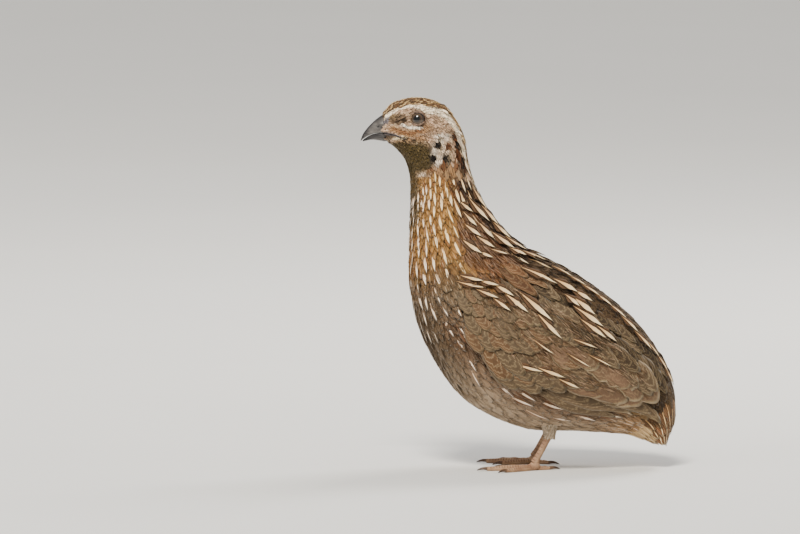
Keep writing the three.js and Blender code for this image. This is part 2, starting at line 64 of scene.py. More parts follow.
# %% The sections, from face to tail
# Columns: back y, back z, belly y, belly z, half width, fullness below the middle.
SECTIONS = {
    "face": (-53.4, 136.4, -51.6, 126.0, 4.0, 0.05),
    "forehead": (-48.6, 141.2, -47.9, 123.4, 6.8, 0.1),
    "crown": (-38.5, 143.0, -44.3, 119.0, 8.9, 0.12),
    "ear": (-28.9, 139.4, -42.4, 112.4, 9.6, 0.12),
    "nape": (-21.9, 129.0, -42.2, 104.3, 9.3, 0.05),
    "throat": (-19.3, 115.5, -42.5, 94.7, 9.9, 0.0),
    "collar": (-13.5, 101.6, -42.7, 83.9, 12.6, 0.0),
    "shoulder": (-0.8, 87.0, -42.2, 68.5, 18.6, 0.06),
    "mantle": (17.3, 77.0, -36.6, 48.5, 23.8, 0.1),
    "waist": (33.9, 66.2, -22.3, 27.3, 26.2, 0.1),
    "saddle": (46.2, 54.7, 0.0, 15.8, 24.4, 0.08),
    "rump": (54.7, 42.3, 21.2, 14.2, 17.6, 0.03),
    "vent": (59.3, 30.0, 39.3, 13.0, 10.8, 0.0),
    "tail root": (59.6, 20.2, 47.4, 10.9, 9.2, 0.0),
    "tail end": (57.2, 11.0, 53.2, 8.4, 7.2, 0.0),
}
ROWS = np.array(list(SECTIONS.values()))
LAST_STATION = len(ROWS) - 1
ROUNDNESS = 0.92
TO_ORIGIN = 0.8


def along(rows, t):
    """Catmull-Rom: passes through each row, with a slope of half the step between its neighbours."""
    t = np.asarray(t, float)
    before = 2 * rows[:1] - rows[1:2]
    after = 2 * rows[-1:] - rows[-2:-1]
    padded = np.concatenate([before, rows, after])
    i = np.clip(np.floor(t).astype(int), 0, len(rows) - 2)
    u = np.clip(t - i, 0, 1)[..., None]
    beyond = (t - i)[..., None] - u
    p0, p1, p2, p3 = (padded[i + k] for k in range(4))
    bend = 2 * p0 - 5 * p1 + 4 * p2 - p3
    twist = 3 * p1 - p0 - 3 * p2 + p3
    curve = p1 + 0.5 * u * (p2 - p0 + u * (bend + u * twist))
    slope = 0.5 * (p2 - p0 + u * (2 * bend + 3 * u * twist))
    return curve + beyond * slope


def signed_power(value, exponent):
    """The power of the size of a number, with its sign kept."""
    return np.sign(value) * np.abs(value) ** exponent


def plumage(t, a):
    """Middle of the section, plus half its chord times cos a, plus its half width times sin a across."""
    back_y, back_z, belly_y, belly_z, half, low = np.moveaxis(along(ROWS, t), -1, 0)
    c = signed_power(np.cos(a), ROUNDNESS)
    s = signed_power(np.sin(a), ROUNDNESS)
    x = half * s * (1 - low * c)
    y = (back_y + belly_y) / 2 + (back_y - belly_y) / 2 * c + TO_ORIGIN
    z = (back_z + belly_z) / 2 + (back_z - belly_z) / 2 * c
    return np.stack([x, y, z], -1)


def unit(vectors):
    """Each vector divided by its length."""
    return vectors / np.maximum(np.linalg.norm(vectors, axis=-1, keepdims=True), 1e-9)


STEP = 0.01


def slopes(surface, t, a):
    """How the point moves for a unit of t and for a unit of a, from central differences."""
    run = (surface(t + STEP, a) - surface(t - STEP, a)) / (2 * STEP)
    turn = (surface(t, a + STEP) - surface(t, a - STEP)) / (2 * STEP)
    return run, turn


def outward(surface, t, a):
    """The normal: the slope round the section crossed with the slope along the body."""
    run, turn = slopes(surface, t, a)
    return unit(np.cross(turn, run))


def raised(surface, t, a, height):
    """A point of the surface, moved out along its normal."""
    return surface(t, a) + outward(surface, t, a) * np.asarray(height)[..., None]


def angle_at(share):
    """The angle at which a side view shows this share of the way from back line to belly line."""
    return np.arccos(signed_power(1 - 2 * np.asarray(share, float), 1 / ROUNDNESS))


def share_at(a):
    """The share of the way from back line to belly line that a side view shows at an angle."""
    return (1 - signed_power(np.cos(a), ROUNDNESS)) / 2


print("stations:", LAST_STATION, "length of back:", round(float(np.linalg.norm(
    np.diff(plumage(np.linspace(0, LAST_STATION, 200), 0.0), axis=0), axis=-1).sum())), "mm")

# %% [markdown]
# ## Turning arrays into pieces
# Blender can build a mesh face by face, but a bird needs hundreds of thousands of faces, so every piece
# is computed as whole arrays and handed over at once. A closed tube, such as the body, a toe or a claw,
# is a grid of rings with a fan at each end. A ring that goes round twice, such as a lid, is a grid that
# closes both ways.

# %% Meshes from grids
def round_steps(count):
    """Angles that go once round in even steps."""
    return np.arange(count) / count * 2 * np.pi


def grid_faces(rows, cols, wrap_rows=False, wrap_cols=True):
    """Four corners for each cell of a grid of points that are numbered row by row."""
    r = np.arange(rows if wrap_rows else rows - 1)[:, None]
    c = np.arange(cols if wrap_cols else cols - 1)[None, :]
    below, beside = (r + 1) % rows, (c + 1) % cols
    corners = [r * cols + c, below * cols + c, below * cols + beside, r * cols + beside]
    return np.stack([np.broadcast_to(k, (r.size, c.size)) for k in corners], -1).reshape(-1, 4)


def tube(rings):
    """A closed tube: rings of points joined by quads, with the middle of each end ring as a pole."""
    rows, cols = rings.shape[:2]
    poles = rings[[0, -1]].mean(axis=1)
    points = np.concatenate([rings.reshape(-1, 3), poles])
    faces = [tuple(f) for f in grid_faces(rows, cols)]
    k = np.arange(cols)
    first, last = rows * cols, rows * cols + 1
    end = (rows - 1) * cols
    faces += [(first, i, j) for i, j in zip(k, (k + 1) % cols)]
    faces += [(last, end + j, end + i) for i, j in zip(k, (k + 1) % cols)]
    return points, faces


def facing_out(points, faces):
    """Turns all faces round if the volume that they enclose comes out negative."""
    tri = np.array([f[:3] for f in faces] + [(f[0], f[2], f[3]) for f in faces if len(f) == 4])
    a, b, c = points[tri[:, 0]], points[tri[:, 1]], points[tri[:, 2]]
    if np.einsum("ij,ij->", a, np.cross(b, c)) < 0:
        return [tuple(f)[::-1] for f in faces]
    return [tuple(f) for f in faces]


def closed_tube(rings):
    """The rings as a closed mesh whose faces point out."""
    points, faces = tube(rings)
    return points, facing_out(points, faces)


def with_poles(values, first=0.0, last=0.0):
    """A value for every point of a closed tube: those of its rings, then those of its two poles."""
    return np.concatenate([np.ravel(values), [first, last]])


def joined(parts):
    """Several meshes as one: each part's corner numbers move past the points before it."""
    points, faces, start = [], [], 0
    for part_points, part_faces in parts:
        points.append(part_points)
        faces += [tuple(int(k) + start for k in f) for f in part_faces]
        start += len(part_points)
    return np.concatenate(points), faces


def mirrored(part):
    """The same mesh on the bird's other side, with its faces turned to point out again."""
    points, faces = part
    return points * (-1, 1, 1), [tuple(f)[::-1] for f in faces]


# %% Pieces that ride with the solids
def piece(name, part, material, slot, replaces=(), **attributes):
    """Makes the object, paints its numbers on its points and lets it ride with the solids."""
    points, faces = part
    mesh = bpy.data.meshes.new(name)
    mesh.from_pydata((points * MM).tolist(), [], [tuple(int(k) for k in f) for f in faces])
    finish_piece(name, mesh, material, replaces, attributes)


def finish_piece(name, mesh, material, replaces, attributes):
    """Smooths the faces, stores the attributes, lets the piece ride with the solids and hides the solids that
    it replaces.
    """
    mesh.polygons.foreach_set("use_smooth", np.ones(len(mesh.polygons), bool))
    for key, values in attributes.items():
        values = np.asarray(values, np.float32)
        kind = "FLOAT" if values.ndim == 1 else "FLOAT_COLOR"
        layer = mesh.attributes.new(key, kind, "POINT")
        layer.data.foreach_set("value" if values.ndim == 1 else "color", values.ravel())
    mesh.materials.append(material)
    mesh.update()
    ob = bpy.data.objects.new(name, mesh)
    bpy.context.scene.collection.objects.link(ob)
    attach(ob, "root")
    if replaces:
        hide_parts(*replaces)
    print(name, "-", len(mesh.polygons), "faces")


# %% [markdown]
# ## Shader sums as plain Python
# A feather's pattern is a sum of masks: a pale streak down the shaft, dark bars across the vane, a pale
# fringe round it. In the node editor such a sum soon becomes a maze. A small class that stands for a
# socket lets it be written as an expression, and every operator adds its Math node. A second class holds
# the material and adds the other nodes.

# %% A socket that can be added and multiplied
class Value:
    """A number that varies over the surface; sums and products of it add Math nodes."""

    def __init__(self, finish, socket):
        self.finish, self.socket = finish, socket

    def math(self, operation, *others, clamp=False):
        inputs = dict(enumerate((self, *others)))
        return self.finish.node("ShaderNodeMath", {"operation": operation, "use_clamp": clamp}, inputs)

    def __add__(self, other):
        return self.math("ADD", other)

    __radd__ = __add__

    def __mul__(self, other):
        return self.math("MULTIPLY", other)

    __rmul__ = __mul__

    def __sub__(self, other):
        return self.math("SUBTRACT", other)

    def __rsub__(self, other):
        return (self * -1.0).math("ADD", other)

    def clamped(self):
        return self.math("ADD", 0.0, clamp=True)

    def ease(self, low, high):
        """0 below low, 1 above high, and a smooth step between; low may be the larger."""
        settings = {"interpolation_type": "SMOOTHSTEP"}
        inputs = {0: self, 1: low, 2: high, 3: 0.0, 4: 1.0}
        return self.finish.node("ShaderNodeMapRange", settings, inputs)


# %% A material under construction
class Finish:
    """A material whose nodes are added one by one; surface() ends it."""

    def __init__(self, name):
        self.material = bpy.data.materials.new(name)
        self.material.use_nodes = True
        self.tree = self.material.node_tree
        self.tree.nodes.clear()

    def node(self, kind, settings=None, inputs=None, output=0):
        """Adds a node, makes its settings first, then gives its sockets their values or links."""
        node = self.tree.nodes.new(kind)
        for key, value in (settings or {}).items():
            if key == "stops":
                ramp = node.color_ramp
                while len(ramp.elements) < len(value):
                    ramp.elements.new(0.5)
                for element, (place, colour) in zip(ramp.elements, value):
                    element.position, element.color = place, (*colour[:3], 1.0)
            else:
                setattr(node, key, value)
        for key, value in (inputs or {}).items():
            socket = node.inputs[key]
            if isinstance(value, Value):
                self.tree.links.new(value.socket, socket)
            elif socket.type == "RGBA":
                socket.default_value = (*value[:3], 1.0)
            else:
                socket.default_value = value
        return Value(self, node.outputs[output]) if len(node.outputs) else None

    def mix(self, share, first, second):
        """The first colour where share is 0, and the second where it is 1."""
        settings = {"data_type": "RGBA"}
        return self.node("ShaderNodeMix", settings, {0: share, 6: first, 7: second}, 2)

    def lit(self, colour, value):
        """The colour made lighter or darker; 1 leaves it as it is."""
        return self.node("ShaderNodeHueSaturation", inputs={"Value": value, "Color": colour})

    def attribute(self, name, output):
        """What a piece stores on its points: output 0 is a colour, 2 a number and 3 the colour's alpha."""
        settings = {"attribute_type": "GEOMETRY", "attribute_name": name}
        return self.node("ShaderNodeAttribute", settings, output=output)

    def noise(self, scale, detail=2.0, place=None, output=0):
        inputs = {"Scale": scale, "Detail": detail}
        inputs["Vector"] = place or self.node("ShaderNodeTexCoord", output=3)
        return self.node("ShaderNodeTexNoise", inputs=inputs, output=output)

    def bump(self, height, strength, distance):
        inputs = {"Height": height, "Strength": strength, "Distance": distance}
        return self.node("ShaderNodeBump", inputs=inputs)

    def surface(self, colour, roughness, normal=None, **constants):
        """Ends the material in one Principled shader and hands the material back."""
        inputs = {"Base Color": colour, "Roughness": roughness}
        if normal:
            inputs["Normal"] = normal
        inputs.update({key.replace("_", " "): value for key, value in constants.items()})
        shader = self.node("ShaderNodeBsdfPrincipled", inputs=inputs)
        self.node("ShaderNodeOutputMaterial", inputs={"Surface": shader})
        return self.material


# %% [markdown]
# ## The quail's colours
# The cock's pattern is the same all over: brown ground, fine pale bars, and a cream streak down the
# middle of many feathers with a black line on either side. Only the strengths change from place to
# place. So each feather carries a few numbers, worked out from where it grows: its ground colour, the
# colour of its streak, and how strong streak, bars, fringe and dark border are.

# %% Named colours
def paint(code):
    """A colour as a painter's hex code, turned into the linear values that shaders count in."""
    values = np.array([int(code[k:k + 2], 16) for k in (1, 3, 5)]) / 255
    return np.where(values <= 0.04045, values / 12.92, ((values + 0.055) / 1.055) ** 2.4)


CREAM = paint("#f5e4c0")
WHITE = paint("#f6e7d5")
BUFF = paint("#cdb083")
STRAW = paint("#b8935a")
GOLDEN = paint("#b38750")
TAWNY = paint("#9f7445")
RUFOUS = paint("#825434")
CHESTNUT = paint("#6a4328")
PINKISH = paint("#cfb095")
GREY_BROWN = paint("#7d6a54")
OLIVE = paint("#5a4c2f")
UMBER = paint("#5a4a37")
DARK = paint("#35281d")
BLACKISH = paint("#1f1812")
SLATE = paint("#6f6c73")


def mixed(first, second, share):
    """The first colour, or each row of the first colours, moved towards the second by its own share."""
    share = np.clip(np.asarray(share, float), 0, 1)[..., None]
    return first * (1 - share) + second * share


def ease(value, low, high):
    """0 below low, 1 above high, and the cubic 3x^2 - 2x^3 between."""
    x = np.clip((value - low) / (high - low), 0, 1)
    return x * x * (3 - 2 * x)


# %% [markdown]
# The markings of the head are drawn in side view, where the photograph shows them. Each is a short line
# or an oval in pixels of the photograph, turned into millimetres, and a feather takes the colour of the
# marks near its tip.

# %% Marks of the head in side view
PIXEL = 0.385  # millimetres on the bird for one pixel of the photograph
PIXEL_AT_ORIGIN = (520.0, 468.0)
ELEVATION = math.radians(5.0)  # how far above level the camera looks from
AIM_HEIGHT = 77.4  # height of the point that lies in the middle of the picture


def seen_at(points):
    """Pixels of the photograph as y and z in millimetres, on an upright sheet through the middle."""
    points = np.asarray(points, float)
    y = (points[..., 0] - PIXEL_AT_ORIGIN[0]) * PIXEL + TO_ORIGIN
    z = (PIXEL_AT_ORIGIN[1] - points[..., 1]) * PIXEL
    return np.stack([y, z], -1)


def sheet_height(place):
    """Where a point seems to be on that sheet: the more it stands out to the side, the lower."""
    up = (place[..., 2] - AIM_HEIGHT) * math.cos(ELEVATION)
    return AIM_HEIGHT + up - np.abs(place[..., 0]) * math.sin(ELEVATION)


BROW = [(385.5, 117), (392, 112.8), (399.4, 109.3), (407, 107.2), (415, 105.8), (421.7, 107.5),
        (429, 110.8), (438.3, 112.8), (445.7, 115.5), (452.2, 121), (457.8, 127.6), (461.3, 137),
        (464.3, 148), (466.4, 159), (469.6, 168.5), (474.2, 182), (478, 191.5)]
BROW_HALF = [1.4, 1.7, 1.2, 1.1, 1.5, 2.4, 3.2, 3.4, 3.5, 3.7, 3.7, 3.4, 2.5, 2.0, 1.8, 1.6, 1.3]
WHISKER = [(395, 129.5), (402, 133.0), (409, 134.8), (417, 133.6), (424, 131.5)]
CHEEK_LINE = [(404, 125.5), (409, 127.8), (416, 129.4), (423, 129.2)]
EAR_EDGE = [(449, 119), (452.5, 124), (453, 131), (451, 137)]
NAPE_CHAIN = [(455.6, 137), (458.6, 149), (458.6, 158), (462.8, 165), (464.5, 175)]
NAPE_CHAIN_HALF = 2.9
CHIN_SPOTS = (404, 142), (20, 4)  # middle and radii of the oval that the dark spots of the chin lie in
# Each line of marks: colour, line, half width and strength.
HEAD_LINES = [(TAWNY, WHISKER, 3.0, 0.6), (RUFOUS, WHISKER, 1.4, 0.6), (WHITE, CHEEK_LINE, 1.5, 0.95),
              (UMBER, EAR_EDGE, 0.9, 0.6)]
# Each mark: colour, middle, radii, strength, and how much a feather's own chance decides.
OVALS = [
    (BUFF, (390, 116.5), (8, 3.6), 0.8, 0.3),
    (UMBER, (399.5, 119.3), (10.5, 5.4), 0.95, 0.35),
    (DARK, (403, 121.5), (7, 2.8), 0.75, 0.5),
    (UMBER, (418.5, 117.5), (8.2, 8.0), 0.55, 0.3),
    (TAWNY, (426, 129.5), (8, 5), 0.55, 0.5),
    (WHITE, (443.5, 139), (8.5, 3.8), 0.85, 0.25),
    (TAWNY, (411, 140.5), (17, 3.6), 0.65, 0.8),
    (TAWNY, (441, 178), (25, 7), 0.7, 0.5),
    (CREAM, (401, 139.2), (9, 2.7), 0.7, 0.6),
    (UMBER, (389.5, 137.4), (6.5, 2.2), 0.85, 0.1),
    (CREAM, (390, 140.4), (2.6, 1.4), 0.8, 0.2),
    (OLIVE, (419, 159.5), (16.5, 15.5), 1.0, 0.05),
    (OLIVE, (401, 149.5), (15, 6.6), 1.0, 0.1),
    (OLIVE, (409, 178), (7, 14), 1.0, 0.1),
    (WHITE, (442, 156), (10.5, 15), 0.85, 0.2),
    (BUFF, (446, 158), (8, 14), 0.6, 0.7),
    (WHITE, (422.5, 178), (6.0, 2.6), 0.85, 0.45),
    (BLACKISH, (438.5, 148), (3.8, 4.0), 1.0, 0.0),
    (CHESTNUT, (448.5, 149.5), (3.2, 4.8), 0.95, 0.0),
    (BLACKISH, (434, 161.5), (3.4, 5.0), 1.0, 0.0),
    (BLACKISH, (447, 162), (5.4, 5.0), 1.0, 0.0),
    (CHESTNUT, (445, 171), (5.6, 3.4), 0.95, 0.0),
    (CHESTNUT, (431, 172), (3.0, 3.0), 0.7, 0.0),
    (RUFOUS, (457, 170), (3.2, 3.6), 0.9, 0.0),
    (GREY_BROWN, (442, 140.5), (3.8, 1.8), 0.8, 0.0),
    (UMBER, (431, 151), (3.0, 3.4), 0.7, 0.2),
    (BLACKISH, (405.5, 126.8), (2.2, 1.8), 0.9, 0.0),
    (UMBER, (414.5, 142), (2.6, 2.0), 0.9, 0.0),
    (SLATE, (384.8, 121.3), (3.6, 3.4), 0.9, 0.0),
]


# %% How near a place is to a mark
def line_distance(y, z, line):
    """Distance in side view to the nearest stretch of a line, where along it, and on which side."""
    knots = seen_at(line)
    p = np.stack([y, z], -1)[..., None, :]
    start, end = knots[:-1], knots[1:]
    way = end - start
    share = np.clip(((p - start) * way).sum(-1) / (way * way).sum(-1), 0, 1)
    off = p - (start + share[..., None] * way)
    gap = np.linalg.norm(off, axis=-1)
    nearest = gap.argmin(axis=-1)[..., None]
    place = nearest[..., 0] + np.take_along_axis(share, nearest, -1)[..., 0]
    side = np.take_along_axis(way[:, 0] * off[..., 1] - way[:, 1] * off[..., 0], nearest, -1)[..., 0]
    return gap.min(axis=-1), place, np.sign(side)


def near_line(y, z, line, half):
    """1 on the line, 0 beyond one and a half of its half width; half in pixels, one or one a knot."""
    gap, place, _ = line_distance(y, z, line)
    half = np.interp(place, np.arange(len(line)), np.broadcast_to(half, len(line))) * PIXEL
    return 1 - ease(gap, half * 0.75, half * 1.4)


def near_oval(y, z, centre, radii):
    """1 inside an oval and 0 outside, with a soft edge; centre and radii in pixels."""
    middle = seen_at(centre)
    gap = np.hypot((y - middle[0]) / (radii[0] * PIXEL), (z - middle[1]) / (radii[1] * PIXEL))
    return 1 - ease(gap, 0.75, 1.25)


# %% [markdown]
# Two functions answer the question: what does a feather look like whose tip lies here? They are used for
# the skin too, so that skin and coat carry the same markings.

# %% What a feather of the head looks like
def head_look(y, z, off_middle, chance):
    """Ground and mark colour, and the strengths of streak, bars, fringe and border, from the side view."""
    gap, _, side = line_distance(y, z, BROW)
    nape = (1 - ease(off_middle, 2.6, 3.6)) * ease(y, -32.0, -29.0)
    crown = np.maximum(ease(gap * side, 0.1, 0.8), nape)
    ground = mixed(PINKISH, GREY_BROWN, 0.3 * (chance > 0.5) + 0.35 * (chance > 0.8))
    ground = mixed(ground, CREAM, 0.35 * (chance < 0.15))
    for colour, centre, radii, strength, freedom in OVALS:
        keep = 1 - freedom * (chance > 0.6)
        ground = mixed(ground, colour, near_oval(y, z, centre, radii) * strength * keep)
    ground = mixed(ground, DARK, near_oval(y, z, *CHIN_SPOTS) * (chance > 0.8))
    for colour, line, half, strength in HEAD_LINES:
        ground = mixed(ground, colour, near_line(y, z, line, half) * strength)
    cap = mixed(mixed(DARK, CHESTNUT, ease(chance, 0.1, 0.35)), GREY_BROWN, 0.35)
    ground = mixed(ground, mixed(cap, BUFF, 0.65 * (chance > 0.62)), crown)
    chain = mixed(CHESTNUT, BLACKISH, chance > 0.45)
    ground = mixed(ground, chain, near_line(y, z, NAPE_CHAIN, NAPE_CHAIN_HALF))
    brow = near_line(y, z, BROW, BROW_HALF) * (1 - nape)
    ground = mixed(ground, mixed(mixed(CREAM, WHITE, 0.7), BUFF, 0.3 * (chance > 0.75)), brow)
    throat = np.max([near_oval(y, z, *mark[1:3]) for mark in OVALS if mark[0] is OLIVE], axis=0)
    plain = (1 - brow) * (1 - crown) * (1 - throat)
    mark = mixed(mixed(BUFF, RUFOUS, (chance * crown) ** 2), UMBER, plain)
    parting = (1 - ease(off_middle, 0.5, 0.9)) * crown * ease(z, 100.0, 104.0)
    ground = mixed(ground, CREAM, 0.85 * parting * (chance < 0.8))
    scallop = crown * (1 - brow) * (chance < 0.75)
    plan = np.stack([0.16 * plain * (chance > 0.4), 0.1 * scallop, 0.5 * scallop,
                     0.1 * (1 - brow) * (1 - throat)], -1)
    return ground, mark, plan


# %% What a feather of the neck and the trunk looks like
def on_mantle(t, share):
    """1 on the plain rufous patch between neck and wing, 0 off it."""
    length = ease(t, 5.9, 6.6) * (1 - ease(t, 7.9, 9.0))
    return length * ease(share, 0.1, 0.2) * (1 - ease(share, 0.36, 0.5))


def trunk_look(t, share, chance, streaked):
    """The same numbers from the station and the share of the way from back line to belly line."""
    front = ease(share, 0.2, 0.42)
    mantle = on_mantle(t, share)
    ground = mixed(DARK, CHESTNUT, 0.2 + ease(share, 0.05, 0.35) * (0.3 + 0.5 * chance))
    gold = mixed(mixed(GOLDEN, TAWNY, 0.15 + 0.6 * chance), RUFOUS, 0.65 * (chance > 0.8))
    gold = mixed(gold, STRAW, 0.4 * (chance < 0.3))
    ground = mixed(ground, gold, front)
    throat = ease(share, 0.76, 0.9) * (1 - ease(t, 4.9, 6.2))
    ground = mixed(ground, OLIVE, throat * 0.85)
    # Grey-brown on the lower side of the breast: partly its own tone, partly painted shade under the breast's
    # curve.
    low_breast_tone_and_shade = ease(t, 6.3, 7.6) * ease(share, 0.4, 0.65)
    ground = mixed(ground, mixed(GREY_BROWN, UMBER, 0.4 + 0.55 * chance), low_breast_tone_and_shade * 0.92)
    ground = mixed(ground, mixed(TAWNY, RUFOUS, 0.3 + 0.7 * chance), mantle * 0.9)
    back = ease(t, 7.0, 8.4) * (1 - ease(share, 0.35, 0.55)) * (1 - mantle)
    ground = mixed(ground, mixed(mixed(UMBER, RUFOUS, 0.15), DARK, 0.2 + 0.5 * chance), back)
    belly = ease(t, 8.1, 9.6) * ease(share, 0.66, 0.9)
    pale = mixed(mixed(BUFF, PINKISH, 0.5), WHITE, 0.3)
    ground = mixed(ground, mixed(pale, GREY_BROWN, 0.15 + 0.5 * chance), belly)
    vent = ease(t, 11.0, 12.2) * ease(share, 0.5, 0.8)
    ground = mixed(ground, mixed(mixed(STRAW, PINKISH, 0.5), RUFOUS, 0.5 * chance), vent)
    mark = mixed(mixed(CREAM, WHITE, ease(share, 0.55, 0.8)), STRAW, 0.7 * back)
    flank = ease(t, 7.4, 8.2) * (1 - ease(t, 11.2, 12.0))
    flank = flank * ease(share, 0.56, 0.62) * (1 - ease(share, 0.8, 0.92))
    ground = mixed(ground, mixed(RUFOUS, CHESTNUT, chance), flank * np.where(streaked, 0.75, 0.3))
    streak = np.where(streaked, (0.54 - 0.06 * front) * (0.65 + 0.45 * chance), 0.05)
    streak = streak * (1 - ease(t, 7.2, 8.6) * (1 - 0.8 * flank)) * (1 - 0.8 * mantle) + 0.08 * vent
    bars = 0.1 + 0.5 * back + 0.35 * mantle + 0.15 * low_breast_tone_and_shade
    fringe = 0.1 + 0.15 * mantle + 0.25 * low_breast_tone_and_shade + 0.15 * belly
    border = (0.95 - 0.35 * front) * np.where(streaked, 1.0, 0.2) * (1 - 0.8 * belly * (1 - flank))
    border = border * (1 - 0.4 * low_breast_tone_and_shade * (1 - flank)) * (1 - 0.7 * mantle)
    return ground, mark, np.stack([streak, bars * (1 - belly), fringe, border], -1)


# %% Head and trunk together
HEAD_FROM = 104.5, 107.5  # heights between which the head's looks take over from the trunk's
HEAD_SLANT = 0.15  # how much higher that border lies in front


def look(place, t, share, chance, streaked=False):
    """The head's looks above the throat, the trunk's below it, and a soft change between."""
    y, z = place[:, 1], sheet_height(place)
    upper = ease(z + HEAD_SLANT * y, *HEAD_FROM)[:, None]
    head = head_look(y, z, np.abs(place[:, 0]), chance)
    trunk = trunk_look(t, share, chance, streaked)
    return tuple(low * (1 - upper) + high * upper for low, high in zip(trunk, head))


# %% [markdown]
# ## How a feather is made
# A feather is a shaft with two vanes of barbs. At life size it's a thin leaf, a little hollow below and
# bent to the body. Each one here starts at its root under the feathers in front of it, walks back over
# the surface step by step, and rises on the way, so its tip shows and its root is covered. It has a top
# and an underside that share a rim, which makes it a solid leaf and not a sheet of paper.

# %% Walk over a surface
def steps_for(surface, t, a, vectors):
    """Changes of t and a that move the point by a vector, from the two slopes' normal equations."""
    run, turn = slopes(surface, t, a)
    rr, tt, rt = (run * run).sum(-1), (turn * turn).sum(-1), (run * turn).sum(-1)
    rv, tv = (run * vectors).sum(-1), (turn * vectors).sum(-1)
    size = np.maximum(rr * tt - rt * rt, 1e-6)
    return (rv * tt - tv * rt) / size, (tv * rr - rv * rt) / size


def walk(surface, t, a, length, lean, rows):
    """Stations, angles and directions along each feather; lean turns it towards the belly line."""
    t, a = np.array(t, float), np.array(a, float)
    ts, angles, ways = [], [], []
    side = np.sign(np.sin(a))
    for _ in range(rows):
        run, turn = slopes(surface, t, a)
        lie = unit(run)
        down = unit(np.cross(lie, np.cross(turn, run))) * side[:, None]
        way = lie * np.cos(lean)[:, None] + down * np.sin(lean)[:, None]
        ts.append(t)
        angles.append(a)
        ways.append(way)
        dt, da = steps_for(surface, t, a, way * (length / (rows - 1))[:, None])
        t, a = t + np.clip(dt, -0.6, 0.6), a + np.clip(da, -0.6, 0.6)
    return np.stack(ts, 1), np.stack(angles, 1), np.stack(ways, 1)


# %% Leaves from numbers
def leaf_faces(rows, cols):
    """The quads of one leaf: a top grid and an underside that shares the top's rim."""
    top = np.arange(rows * cols).reshape(rows, cols)
    under = top.copy()
    under[1:-1, 1:-1] = rows * cols + np.arange((rows - 2) * (cols - 2)).reshape(rows - 2, cols - 2)

    def quads(g):
        return np.stack([g[:-1, :-1], g[:-1, 1:], g[1:, 1:], g[1:, :-1]], -1).reshape(-1, 4)

    return np.concatenate([quads(top), quads(under)[:, ::-1]])


class Tract:
    """A crowd of feathers that share a grid size; each row of the arrays is one feather."""

    def __init__(self, surface, t, a, length, width, lean=0.0, low=-1.3, high=-0.1, point=0.25,
                 blunt=0.5, rows=7, cols=5, roll=0.0):
        n = len(t)
        self.n, self.rows, self.cols = n, rows, cols
        self.root_t, self.root_a = np.asarray(t, float), np.asarray(a, float)
        spread = [np.broadcast_to(np.asarray(k, float), n) for k in (length, width, lean, low, high)]
        length, width, lean, low, high = spread
        ts, angles, ways = walk(surface, self.root_t, self.root_a, length, lean, rows)
        u = np.linspace(-1, 1, cols)
        v = np.linspace(0, 1, rows)
        leaf = (1 - (1 - v) ** 2.2) * (1 - (1 - blunt) * ease(v, 0.55, 1.0))
        half = width[:, None] / 2 * leaf * (1 + draw.normal(0, 0.04, (n, rows)))
        normal = outward(surface, ts, angles)
        across = unit(np.cross(ways, normal))
        dt, da = steps_for(surface, ts, angles, across)
        reach = half[..., None] * u
        lag = -point * length[:, None, None] * (u ** 2) * (v ** 2)[:, None]
        bt, ba = steps_for(surface, ts, angles, ways)
        tt = ts[..., None] + dt[..., None] * reach + bt[..., None] * lag
        aa = angles[..., None] + da[..., None] * reach + ba[..., None] * lag
        rise = low[:, None] + (high - low)[:, None] * v ** 0.8
        arch = 0.10 * width[:, None, None] * (1 - u ** 2) * leaf[:, None]
        twist = (roll + draw.normal(0, 0.05, n))[:, None, None] * reach
        place = surface(tt, aa)
        normals = outward(surface, tt, aa)
        height = rise[..., None] + arch * 0.5 + twist
        thick = 0.05 + 0.012 * width
        body = thick[:, None, None] * (1 - u ** 2) * np.sin(np.pi * np.clip(v, 0, 1))[:, None]
        top = place + normals * (height + body)[..., None]
        under = place + normals * (height - body)[..., None]
        self.tip = top[:, -1, cols // 2]
        self.tip_t, self.tip_a = ts[:, -1], angles[:, -1]
        inner = under[:, 1:-1, 1:-1]
        self.points = np.concatenate([top.reshape(n, -1, 3), inner.reshape(n, -1, 3)], 1)
        uu, vv = np.broadcast_to((u + 1) / 2, (rows, cols)), np.broadcast_to(v[:, None], (rows, cols))
        grid = np.stack([uu, vv], -1)
        self.vane = np.concatenate([grid.reshape(-1, 2), grid[1:-1, 1:-1].reshape(-1, 2)])
        self.chance = draw.random(n)

    def dressed(self, looks):
        """Keeps ground, mark and plan, each as one row for every feather or one for all."""
        looks = [np.asarray(k, float) for k in looks]
        self.ground, self.mark, self.plan = (np.broadcast_to(k, (self.n, k.shape[-1])) for k in looks)
        return self

    def seen(self, streaked=False):
        """Looks taken from the tip's place on the body; streaked feathers carry a broad cream shaft."""
        return self.dressed(look(self.tip, self.tip_t, share_at(self.tip_a), self.chance, streaked))


# %% Tracts joined into a piece
PATCH_MARGIN, PATCH_SIZE = 0.03, 0.003  # of the map on which each feather has its own patch


